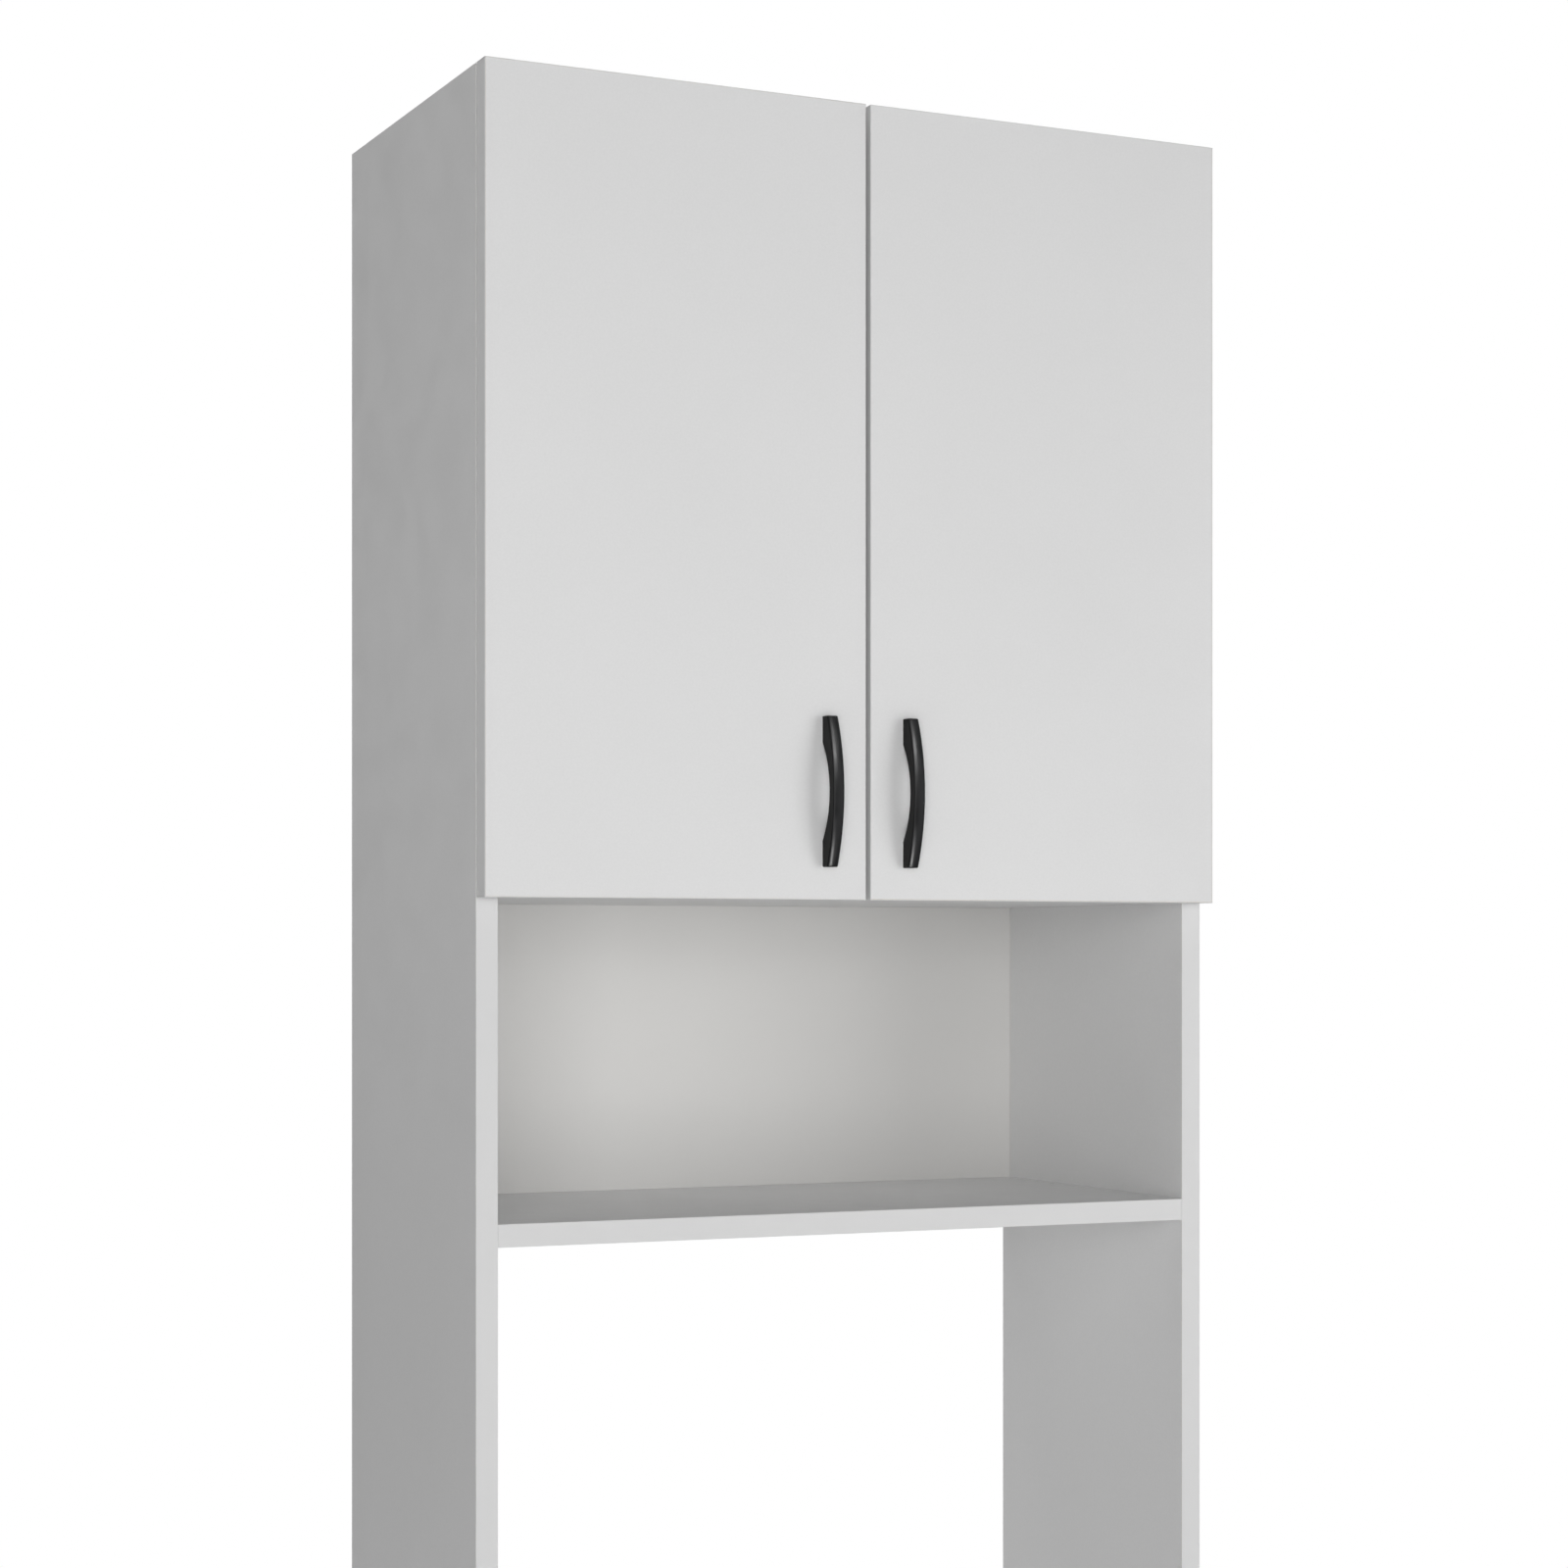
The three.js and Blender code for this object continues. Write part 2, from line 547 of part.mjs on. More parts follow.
// Inner link: one hooked bar on the cup's inner pin, with a slider pin at its other end
function innerLink() {
  const layer = [-INNER_LINK_HALF, INNER_LINK_HALF];
  const bar = joined([
    pin(LINK_EYE, CUP_INNER_PIVOT, INNER_LINK_WIDTH),
    strap(LINK_BAR, CUP_INNER_PIVOT, INNER_KNEE, ...layer),
    strap(LINK_BAR, INNER_KNEE, SLIDER, ...layer),
  ]);
  const bored = bar.subtract(pin(PIN_HOLE, CUP_INNER_PIVOT, INNER_LINK_WIDTH + 2 * OVERRUN));
  return geometryOf(bored.add(pin(HINGE_PIN, SLIDER, 2 * (ARM_OUTSIDE + SLIDER_OVERHANG))));
}

// Arm: a channel on the mounting plate, with the outer link's pin and the slider's slots at its tip
function hingeArm() {
  const layer = [ARM_INSIDE, ARM_OUTSIDE];
  const slotWidth = HINGE_PIN + 2 * ARM_SLOT_PLAY;
  const low = BOARD + ARM_FOOT_HEIGHT;
  const high = BOARD + ARM_TOP_HEIGHT;
  const cheek = joined([
    strap(slotWidth + 2 * ARM_SLOT_WALL, SLOT_START, SLOT_END, ...layer),
    strap(ARM_EYE, ARM_PIVOT, SLOT_START, ...layer),
    block([low, ARM_PIVOT_SETBACK + ARM_EYE / 2, ARM_INSIDE], [high, ARM_LENGTH, ARM_OUTSIDE]),
  ]).subtract(strap(slotWidth, SLOT_START, SLOT_END, ARM_INSIDE - OVERRUN, ARM_OUTSIDE + OVERRUN));
  const webStart = SLIDER_SETBACK + LINK_EYE / 2 + ARM_SIDE_GAP;
  const web = block([high - ARM_WEB, webStart, -ARM_OUTSIDE], [high, ARM_LENGTH, ARM_OUTSIDE]);
  const pivotPin = pin(HINGE_PIN, ARM_PIVOT, 2 * ARM_OUTSIDE);
  return geometryOf(joined([cheek, cheek.mirror([0, 0, 1]), web, pivotPin]));
}

// Mounting plate with its rail, screwed to the side panel with two screws
function hingePlate() {
  const face = BOARD + PLATE_THICKNESS;
  const reach = HOLE_PITCH / 2;
  const wing = strap(PLATE_WIDTH, point(LINE_SETBACK, -reach), point(LINE_SETBACK, reach),
    BOARD, face).rotate([90, 0, 90]);
  const railHalf = ARM_INSIDE - FIT;
  const railTop = BOARD + ARM_TOP_HEIGHT - ARM_WEB - FIT;
  const rail = block([BOARD, LINE_SETBACK - PLATE_RAIL_LENGTH / 2, -railHalf],
    [railTop, LINE_SETBACK + PLATE_RAIL_LENGTH / 2, railHalf]);
  const screws = [-reach, reach].flatMap((z) => [
    rod(PLATE_SCREW_DIAMETER, [BOARD - PLATE_SCREW_LENGTH, LINE_SETBACK, z],
      [face, LINE_SETBACK, z]),
    rod(PLATE_SCREW_HEAD, [BOARD, LINE_SETBACK, z],
      [face + PLATE_SCREW_HEAD_HEIGHT, LINE_SETBACK, z], FACETS_MEDIUM),
  ]);
  return geometryOf(joined([wing, rail, ...screws]));
}

const HINGE_PIECES = {
  cup: hingeCup,
  outer_link: outerLink,
  inner_link: innerLink,
  arm: hingeArm,
  plate: hingePlate,
};

function addHinges() {
  for (const [piece, build] of Object.entries(HINGE_PIECES)) {
    const geometry = build();
    for (const [level, z] of Object.entries(HINGE_HEIGHTS)) {
      placeBoth(`${level}_hinge_${piece}`, geometry, NICKEL, [0, 0, z]);
    }
  }
}

// Where the handles and their screws go on a door
const HANDLE_X = DOOR_WIDTH - HANDLE_EDGE_DISTANCE;
const HANDLE_Z = CUPBOARD_FLOOR_Z + HANDLE_LIFT + HANDLE_LENGTH / 2;
const HANDLE_SCREW_HEIGHTS = {
  upper: HANDLE_Z + HANDLE_HOLE_SPACING / 2,
  lower: HANDLE_Z - HANDLE_HOLE_SPACING / 2,
};
const HANDLE_SCREW_HOLE = HANDLE_SCREW_DIAMETER + 2 * FIT;

// Door, bored for two hinge cups and two handle screws
function door() {
  const board = block([0, DOOR_FRONT, CUPBOARD_FLOOR_Z], [DOOR_WIDTH, DOOR_BACK, HEIGHT]);
  const cups = Object.values(HINGE_HEIGHTS).map((z) => rod(CUP_BORE,
    [CUP_X, DOOR_BACK - CUP_BORE_DEPTH, z], [CUP_X, DOOR_BACK + OVERRUN, z], FACETS_LARGE));
  const holes = Object.values(HANDLE_SCREW_HEIGHTS).map((z) => rod(HANDLE_SCREW_HOLE,
    [HANDLE_X, DOOR_FRONT - OVERRUN, z], [HANDLE_X, DOOR_BACK + OVERRUN, z]));
  return geometryOf(without(board, [...cups, ...holes]));
}

// Radius of an arc from half its chord and its rise
const arcRadius = (half, rise) => (half ** 2 + rise ** 2) / (2 * rise);

// Bow handle about its own middle: the outline is drawn with its length along x and its rise
// along y, and then turned upright with the rise to the front
function handle() {
  const half = HANDLE_LENGTH / 2;
  const outer = arcRadius(half, HANDLE_RISE - HANDLE_END_RISE);
  const outerTurn = Math.asin(half / outer);
  const span = half - HANDLE_FOOT;
  const inner = arcRadius(span, HANDLE_RISE - HANDLE_BAR);
  const innerTurn = Math.asin(span / inner);
  const up = Math.PI / 2;
  const outline = new THREE.Shape();
  outline.moveTo(-half, 0);
  outline.absarc(0, HANDLE_RISE - outer, outer, up + outerTurn, up - outerTurn, true);
  outline.lineTo(half, 0);
  outline.absarc(0, HANDLE_RISE - HANDLE_BAR - inner, inner, up - innerTurn, up + innerTurn);
  const bow = new THREE.ExtrudeGeometry(outline, {
    depth: HANDLE_WIDTH - 2 * HANDLE_ROUNDING,
    curveSegments: HANDLE_STEPS,
    bevelThickness: HANDLE_ROUNDING,
    bevelSize: HANDLE_ROUNDING,
    bevelOffset: -HANDLE_ROUNDING,
    bevelSegments: ROUNDING_STEPS,
  });
  bow.translate(0, 0, HANDLE_ROUNDING - HANDLE_WIDTH / 2);
  bow.applyMatrix4(new THREE.Matrix4().makeBasis(
    new THREE.Vector3(0, 0, 1), new THREE.Vector3(0, -1, 0), new THREE.Vector3(1, 0, 0)));
  const holes = Object.values(HANDLE_SCREW_HEIGHTS).map((z) => rod(HANDLE_SCREW_HOLE,
    [0, OVERRUN, z - HANDLE_Z], [0, -HANDLE_SCREW_GRIP - FIT, z - HANDLE_Z]));
  return geometryOf(without(solid(bow), holes));
}

// Handle screw, with its head against the back of the door at the origin
function handleScrew() {
  const head = rod(SCREW_HEAD_DIAMETER, [0, 0, 0], [0, SCREW_HEAD_HEIGHT, 0], FACETS_MEDIUM);
  const shank = rod(HANDLE_SCREW_DIAMETER, [0, -DOOR_THICKNESS - HANDLE_SCREW_GRIP, 0],
    [0, SCREW_HEAD_HEIGHT / 2, 0]);
  return geometryOf(head.add(shank));
}

function addDoors() {
  placeBoth('door', door(), MELAMINE, [0, 0, 0]);
  placeBoth('handle', handle(), BLACK_GLOSS, [HANDLE_X, DOOR_FRONT, HANDLE_Z]);
  const screw = handleScrew();
  for (const [level, z] of Object.entries(HANDLE_SCREW_HEIGHTS)) {
    placeBoth(`${level}_handle_screw`, screw, ZINC, [HANDLE_X, DOOR_BACK, z]);
  }
}

placeBoth('side_panel', sidePanel(), MELAMINE, [0, 0, 0]);
addHeldBoards();
addStretcher();
addShelf();
addBack();
addGlides();
addDoors();
addHinges();

export default cabinet;
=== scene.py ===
# %% [markdown]
# # A tall cabinet with two doors, an open niche and an open bay
# The cabinet is flat-pack furniture: white melamine-faced chipboard with edge bands, held by cam
# connectors, with two doors on concealed hinges. The measured model is loaded first and stays as it
# is. Everything below gives its pieces the surface and the small shapes that the eye expects.

# %% Load the measured model
import json
import math

import bmesh
import bpy
from mathutils import Matrix, Vector


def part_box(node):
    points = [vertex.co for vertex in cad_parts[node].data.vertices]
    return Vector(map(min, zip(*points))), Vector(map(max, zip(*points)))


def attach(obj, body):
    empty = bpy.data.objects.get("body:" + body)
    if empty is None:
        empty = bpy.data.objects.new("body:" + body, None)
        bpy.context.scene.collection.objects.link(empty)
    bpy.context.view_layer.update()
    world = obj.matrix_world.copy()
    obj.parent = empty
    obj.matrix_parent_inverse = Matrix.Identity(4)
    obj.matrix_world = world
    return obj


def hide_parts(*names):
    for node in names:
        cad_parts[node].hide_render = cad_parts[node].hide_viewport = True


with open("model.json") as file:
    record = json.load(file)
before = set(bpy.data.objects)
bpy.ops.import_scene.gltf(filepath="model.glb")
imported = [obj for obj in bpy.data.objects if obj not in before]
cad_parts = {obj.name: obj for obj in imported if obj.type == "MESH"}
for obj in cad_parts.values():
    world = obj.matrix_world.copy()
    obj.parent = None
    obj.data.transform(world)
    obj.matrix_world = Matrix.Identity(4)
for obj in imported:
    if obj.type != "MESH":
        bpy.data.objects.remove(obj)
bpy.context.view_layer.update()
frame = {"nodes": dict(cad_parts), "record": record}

scene = bpy.context.scene

# %% [markdown]
# ## The camera
# The photograph was taken with the camera held level, because its upright edges stay upright. The
# horizon then lies below the middle of the picture, which a lens shift gives without a tilt.

# %% Set the camera
PHOTO_SIDE = 1600
FOCAL_PIXELS = 3278
HORIZON_ROW = 976
SENSOR_MM = 36
CAMERA_PLACE = (-1.157, -2.4505, 1.093)
CAMERA_TURN = -25.24

camera_data = bpy.data.cameras.new("camera")
camera_data.sensor_fit = "HORIZONTAL"
camera_data.sensor_width = SENSOR_MM
camera_data.lens = SENSOR_MM * FOCAL_PIXELS / PHOTO_SIDE
camera_data.shift_y = HORIZON_ROW / PHOTO_SIDE - 0.5
camera = bpy.data.objects.new("camera", camera_data)
camera.location = CAMERA_PLACE
camera.rotation_euler = (math.radians(90), 0, math.radians(CAMERA_TURN))
scene.collection.objects.link(camera)
scene.camera = camera
print(f"lens {camera_data.lens:.1f} mm, shift {camera_data.shift_y:.3f}")

# %% [markdown]
# ## Colours and nodes
# A shader works with linear light, and a colour picked from a screen is an sRGB code. One function
# turns the code into linear values, and one adds a node with its settings and links. Sockets that
# share a name go by number: a colour mix takes its share at 0 and its colours at 6 and 7, and a map
# range turns the values from 1 to 2 into those from 3 to 4. So each range below is a pair of them,
# and the one here holds most of what a noise gives. All patterns use the object's own coordinates,
# which are metres and need no unwrapping.

# %% Helpers for the materials
MOST_NOISE = {1: 0.3, 2: 0.7}


def linear(code):
    """The linear colour of an sRGB hex code."""
    shares = [int(code[at:at + 2], 16) / 255 for at in (1, 3, 5)]
    return [s / 12.92 if s <= 0.04045 else ((s + 0.055) / 1.055) ** 2.4 for s in shares] + [1]


def add(tree, kind, inputs=None, **settings):
    """A new node with its settings. An input is a value, or another node's output to link."""
    node = tree.nodes.new(f"ShaderNode{kind}")
    for name, value in settings.items():
        setattr(node, name, value)
    for socket, value in (inputs or {}).items():
        if isinstance(value, bpy.types.NodeSocket):
            tree.links.new(value, node.inputs[socket])
        else:
            node.inputs[socket].default_value = value
    return node


def new_material(name, **values):
    """A material with its node tree, its shader and the object's own coordinates."""
    material = bpy.data.materials.new(name)
    material.use_nodes = True
    tree = material.node_tree
    shader = tree.nodes["Principled BSDF"]
    for socket, value in values.items():
        shader.inputs[socket.replace("_", " ")].default_value = value
    place = add(tree, "TexCoord").outputs["Object"]
    return material, tree, shader, place


def per_metre(millimetres):
    """How often a pattern of that size repeats in a metre."""
    return 1000 / millimetres


print("white #E2E2E1 is", [round(v, 3) for v in linear("#E2E2E1")[:3]])

# %% [markdown]
# ## White melamine
# The boards are chipboard under paper that is soaked in melamine resin and pressed against a steel
# plate with a fine pearl grain. The grain is under a millimetre, too fine for this distance, so it
# is drawn coarser here. It breaks up the sheen, while the colour stays an even, neutral white.

# %% Melamine material
PEARL_GRAIN = 1.8
PEARL_DEPTH = 0.00004
PEARL_TONES = {3: 0.985, 4: 1.01}
PEARL_SHEEN = 0.08
PRESS_CLOUD = 180
SCUFF = 30
SCUFF_FLATTEN = 3
SCUFF_HEIGHT = 0.09
SCUFF_PATCHES = {1: 0.56, 2: 0.74}
SCUFF_STRENGTH = 0.6
HAND_MARK = 45
HAND_PATCHES = {1: 0.4, 2: 0.7}
PRESSED_ROUGHNESS = {3: 0.42, 4: 0.52}
GRIP = (0.0, -0.155, 1.22)
GRIP_REACH = {1: 0.06, 2: 0.2}
GRIP_POLISH = 0.84


def white_melamine(name, light, dark, scuffed):
    """Pressed melamine: an even white, a pearl grain in the sheen, and faint signs of use."""
    material, tree, shader, place = new_material(name, IOR=1.5, Specular_IOR_Level=0.35)
    pearl = add(tree, "TexNoise", {"Vector": place, "Scale": per_metre(PEARL_GRAIN), "Detail": 2})
    cloud = add(tree, "TexNoise", {"Vector": place, "Scale": per_metre(PRESS_CLOUD), "Detail": 1})
    tone = add(tree, "Mix", {0: cloud.outputs[0], 6: linear(light), 7: linear(dark)},
               data_type="RGBA")
    speck = add(tree, "MapRange", {0: pearl.outputs[0], **MOST_NOISE, **PEARL_TONES})
    grained = add(tree, "Mix", {0: 1.0, 6: tone.outputs[2], 7: speck.outputs[0]},
                  data_type="RGBA", blend_type="MULTIPLY")

    # Grey scuffs where shoes and a mop touch the feet of the sides
    height = add(tree, "SeparateXYZ", {0: place})
    low = add(tree, "MapRange", {0: height.outputs["Z"], 1: 0.0, 2: SCUFF_HEIGHT, 3: 1.0, 4: 0.0})
    along = add(tree, "Mapping", {"Vector": place, "Scale": (1, 1, SCUFF_FLATTEN)})
    scuffs = add(tree, "TexNoise", {"Vector": along.outputs[0], "Scale": per_metre(SCUFF),
                                    "Detail": 8, "Roughness": 0.7})
    marked = add(tree, "MapRange", {0: scuffs.outputs[0], **SCUFF_PATCHES, 3: 0.0,
                                    4: SCUFF_STRENGTH})
    dirt = add(tree, "Math", {0: low.outputs[0], 1: marked.outputs[0]}, operation="MULTIPLY")
    colour = add(tree, "Mix", {0: dirt.outputs[0], 6: grained.outputs[2], 7: linear(scuffed)},
                 data_type="RGBA")

    # The sheen is polished a little around the handles, and varies with the marks of hands
    marks = add(tree, "TexNoise", {
        "Vector": place, "Scale": per_metre(HAND_MARK), "Detail": 5, "Distortion": 0.8})
    worn = add(tree, "MapRange", {0: marks.outputs[0], **HAND_PATCHES, **PRESSED_ROUGHNESS})
    away = add(tree, "VectorMath", {0: place, 1: GRIP}, operation="DISTANCE")
    grip = add(tree, "MapRange", {0: away.outputs["Value"], **GRIP_REACH, 3: GRIP_POLISH, 4: 1.0})
    polished = add(tree, "Math", {0: worn.outputs[0], 1: grip.outputs[0]}, operation="MULTIPLY")
    sheen = add(tree, "Math", {0: pearl.outputs[0], 1: PEARL_SHEEN, 2: polished.outputs[0]},
                operation="MULTIPLY_ADD")
    bump = add(tree, "Bump", {"Height": pearl.outputs[0], "Distance": PEARL_DEPTH,
                              "Strength": 0.5})
    tree.links.new(colour.outputs[2], shader.inputs["Base Color"])
    tree.links.new(sheen.outputs[0], shader.inputs["Roughness"])
    tree.links.new(bump.outputs[0], shader.inputs["Normal"])
    return material


melamine = white_melamine("pressed_white_melamine", "#E4E4E4", "#E0E0E0", "#A8A6A2")
print("made", melamine.name)

# %% [markdown]
# ## Floor, background and lights
# The photograph shows the cabinet cut out on white. A pale floor keeps the soft shadow, and turns
# to plain white away from the cabinet, so that no horizon shows.

# %% Floor and background
AMBIENT = 0.12
FLOOR_SIZE = 30
SHADE_REACH = {1: 0.6, 2: 1.8}


def white_for_camera(tree, ground, strength):
    """White to the camera, in reflections and through clear plastic, and dim as a light."""
    path = add(tree, "LightPath")
    seen = add(tree, "Math", {0: path.outputs["Is Camera Ray"],
                              1: path.outputs["Is Glossy Ray"]}, operation="MAXIMUM")
    through = add(tree, "Math", {0: seen.outputs[0],
                                 1: path.outputs["Is Transmission Ray"]}, operation="MAXIMUM")
    level = add(tree, "MapRange", {0: through.outputs[0], 3: strength, 4: 1.0})
    tree.links.new(level.outputs[0], ground.inputs["Strength"])


world = bpy.data.worlds.new("studio")
scene.world = world
world.use_nodes = True
background = world.node_tree.nodes["Background"]
background.inputs["Color"].default_value = linear("#FFFFFF")
white_for_camera(world.node_tree, background, AMBIENT)

floor_shape = bmesh.new()
bmesh.ops.create_grid(floor_shape, x_segments=1, y_segments=1, size=FLOOR_SIZE / 2)
floor_mesh = bpy.data.meshes.new("floor")
floor_shape.to_mesh(floor_mesh)
floor_shape.free()
floor = bpy.data.objects.new("floor", floor_mesh)
scene.collection.objects.link(floor)

paper, tree, shader, place = new_material("pale_paper_floor", Roughness=0.9)
shader.inputs["Base Color"].default_value = linear("#E8E8E8")
shader.inputs["Specular IOR Level"].default_value = 0
away = add(tree, "VectorMath", {0: place}, operation="LENGTH")
fade = add(tree, "MapRange", {0: away.outputs["Value"], **SHADE_REACH})
path = add(tree, "LightPath")
shown = add(tree, "Math", {0: fade.outputs[0], 1: path.outputs["Is Camera Ray"]},
            operation="MULTIPLY")
glow = add(tree, "Emission", {"Strength": 1.0})
blend = add(tree, "MixShader", {0: shown.outputs[0], 1: shader.outputs[0], 2: glow.outputs[0]})
tree.links.new(blend.outputs[0], tree.nodes["Material Output"].inputs["Surface"])
floor_mesh.materials.append(paper)

# %% [markdown]
# Broad area lamps give a plain, soft light, like paper screens in a studio. The strengths were
# chosen so that the doors, the side and the inside of the niche have the tones of the photograph.
# One lamp hangs high above and behind for the top and the floor, and one lights the back.

# %% Lamps
AIM = (0, 0, 1.2)
LAMPS = {
    "left_high": {"at": (-1.5, -3.5, 2.0), "side": 1.8, "watts": 20},
    "left_low": {"at": (-1.6, -3.4, 0.9), "side": 1.8, "watts": 43},
    "right_low": {"at": (2.4, -3.0, 0.9), "side": 2.2, "watts": 42},
    "overhead": {"at": (0, 1.2, 6.5), "side": 3.0, "watts": 160},
    "behind": {"at": (1.2, 3.2, 1.6), "side": 2.0, "watts": 45},
}


def lamp(name, at, side, watts):
    """A square area lamp that looks at the middle of the cabinet."""
    data = bpy.data.lights.new(name, "AREA")
    data.size = side
    data.energy = watts
    light = bpy.data.objects.new(name, data)
    light.location = at
    light.rotation_mode = "QUATERNION"
    light.rotation_quaternion = (Vector(AIM) - light.location).to_track_quat("-Z", "Y")
    scene.collection.objects.link(light)
    return light


for name, settings in LAMPS.items():
    lamp(name, **settings)
print(len(LAMPS), "lamps,", sum(settings["watts"] for settings in LAMPS.values()), "W in all")

# %% [markdown]
# ## Edge bands and raw chipboard
# A board is sawn from a large sheet, and its raw edges are pressed chips of pine and beech, tan
# with darker specks. Each edge that shows gets a glued band of white ABS plastic, which is smoother
# and a little glossier than the pressed face. Hidden edges and bores stay raw. Voronoi cells look
# like pressed chips, because each cell has one tone and meets its neighbours at a sharp line.

# %% Edge band and chipboard materials
BAND_STREAK = 6
BAND_DEPTH = 0.00005
BAND_ROUGHNESS = {3: 0.38, 4: 0.5}
CHIP = 3.5
CHIP_DEPTH = 0.0004
DUST = 0.9
DUST_TONES = {1: 0.35, 2: 0.5, 3: 0.6, 4: 1.0}


def white_band():
    """Extruded ABS: smooth, with faint lines along the band that the trimmer left."""
    material, tree, shader, place = new_material("extruded_white_abs", IOR=1.52)
    shader.inputs["Base Color"].default_value = linear("#D8D8D8")
    lines = add(tree, "TexNoise", {"Vector": place, "Scale": per_metre(BAND_STREAK), "Detail": 3})
    sheen = add(tree, "MapRange", {0: lines.outputs[0], **MOST_NOISE, **BAND_ROUGHNESS})
    bump = add(tree, "Bump", {"Height": lines.outputs[0], "Distance": BAND_DEPTH, "Strength": 0.3})
    tree.links.new(sheen.outputs[0], shader.inputs["Roughness"])
    tree.links.new(bump.outputs[0], shader.inputs["Normal"])
    return material


def raw_chipboard():
    """Pressed and sanded wood chips: tan cells of uneven tone with dark dust between them."""
    material, tree, shader, place = new_material("pressed_raw_chipboard", Roughness=0.85)
    chips = add(tree, "TexVoronoi", {"Vector": place, "Scale": per_metre(CHIP)})
    tones = add(tree, "ValToRGB", {0: chips.outputs["Color"]})
    tones.color_ramp.elements[0].color = linear("#B0916A")
    tones.color_ramp.elements[1].color = linear("#E2CFAE")
    dust = add(tree, "TexNoise", {"Vector": place, "Scale": per_metre(DUST), "Detail": 4})
    pores = add(tree, "MapRange", {0: dust.outputs[0], **DUST_TONES})
    colour = add(tree, "Mix", {0: 1.0, 6: tones.outputs[0], 7: pores.outputs[0]},
                 data_type="RGBA", blend_type="MULTIPLY")
    bump = add(tree, "Bump", {"Height": dust.outputs[0], "Distance": CHIP_DEPTH, "Strength": 0.7})
    tree.links.new(colour.outputs[2], shader.inputs["Base Color"])
    tree.links.new(bump.outputs[0], shader.inputs["Normal"])
    return material


band_plastic = white_band()
chipboard = raw_chipboard()
print("made", band_plastic.name, "and", chipboard.name)

# %% [markdown]
# ## Boards
# The measured model has each board with its bores, as a plain block with knife-sharp edges. A real
# board is a core with bands around it. So each board is copied, cut back by the thickness of its
# bands, and the bands are laid on as thin strips with eased corners. The hairline seam between
# core and band then comes by itself.

# %% Helpers for the pieces
MERGE = 0.00001
LEVEL = math.radians(1)
RECORD = frame["record"]
BODY_OF = {node: body for body, nodes in RECORD["behaviour"]["bodies"].items() for node in nodes}


def copy_of(node):
    """The merged mesh of a piece of the measured model."""
    shape = bmesh.new()
    shape.from_mesh(frame["nodes"][node].data)
    bmesh.ops.remove_doubles(shape, verts=shape.verts, dist=MERGE)
    bmesh.ops.dissolve_limit(shape, angle_limit=LEVEL, verts=shape.verts, edges=shape.edges)
    return shape


def piece_from(name, shape, like, materials, stands_for=()):
    """An object made from a mesh and its materials, on the body of a piece of the measured model.
    """
    mesh = bpy.data.meshes.new(name)
    shape.to_mesh(mesh)
    shape.free()
    for material in materials:
        mesh.materials.append(material)
    piece = bpy.data.objects.new(name, mesh)
    scene.collection.objects.link(piece)
    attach(piece, BODY_OF[like])
    if stands_for:
        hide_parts(*stands_for)
    return piece


def block(low, high):
    """A box between two corners."""
    shape = bmesh.new()
    size = high - low
    bmesh.ops.create_cube(shape, size=1, matrix=Matrix.Translation((low + high) / 2)
                          @ Matrix.Diagonal((*size, 1)))
    return shape


def box_edges(shape, low, high, around=None):
    """The edges along the edges of a box, or only those around one of its faces."""
    found = []
    for edge in shape.edges:
        faces = [(axis, side) for axis in range(3)
                 for side, limit in ((-1, low[axis]), (1, high[axis]))
                 if all(abs(vert.co[axis] - limit) < 2 * MERGE for vert in edge.verts)]
        if len(faces) > 1 and (around is None or around in faces):
            found.append(edge)
    return found


def ease(shape, edges, radius, segments=2, clamp=True):
    """Rounds edges by a radius. Clamping keeps it small on an outline of many short steps."""
    bmesh.ops.bevel(shape, geom=edges, offset=radius, offset_type="OFFSET", segments=segments,
                    profile=0.5, affect="EDGES", clamp_overlap=clamp, material=-1)


print(len(BODY_OF), "pieces know their body")

# %% Make the boards
BAND = 0.0008
BAND_EASE = 0.0005
SEAM = 0.00012
LEFT, RIGHT, FRONT, BOTTOM, TOP = (0, -1), (0, 1), (1, -1), (2, -1), (2, 1)
BANDED = {
    "left_side_panel": (FRONT, TOP),
    "right_side_panel": (FRONT, TOP),
    "top_panel": (FRONT,),
    "cupboard_floor": (FRONT,),
    "cupboard_shelf": (FRONT,),
    "niche_floor": (FRONT,),
    "rear_stretcher": (BOTTOM, TOP),
    "left_door": (BOTTOM, TOP, LEFT, RIGHT),
    "right_door": (BOTTOM, TOP, LEFT, RIGHT),
}


def merged(shapes):
    """Several meshes as one."""
    whole = bmesh.new()
    for shape in shapes:
        mesh = bpy.data.meshes.new("part")
        shape.to_mesh(mesh)
        shape.free()
        whole.from_mesh(mesh)
        bpy.data.meshes.remove(mesh)
    return whole


def cut_back(shape, axis, side, limit):
    """Cuts a board off square at a plane and closes it again."""
    normal = Vector((0, 0, 0))
    normal[axis] = side
    at = Vector((0, 0, 0))
    at[axis] = limit
    cut = bmesh.ops.bisect_plane(
        shape, geom=shape.verts[:] + shape.edges[:] + shape.faces[:], dist=MERGE,
        plane_co=at, plane_no=normal, clear_outer=True)
    rim = [item for item in cut["geom_cut"] if isinstance(item, bmesh.types.BMEdge)]
    bmesh.ops.edgeloop_fill(shape, edges=rim)


def strip(low, high, axis, side):
    """A band: its outer corners are eased, and its glued side has only the seam's small bevel."""
    shape = block(low, high)
    ease(shape, box_edges(shape, low, high, around=(axis, -side)), SEAM, segments=1)
    ease(shape, box_edges(shape, low, high, around=(axis, side)), BAND_EASE)
    return shape


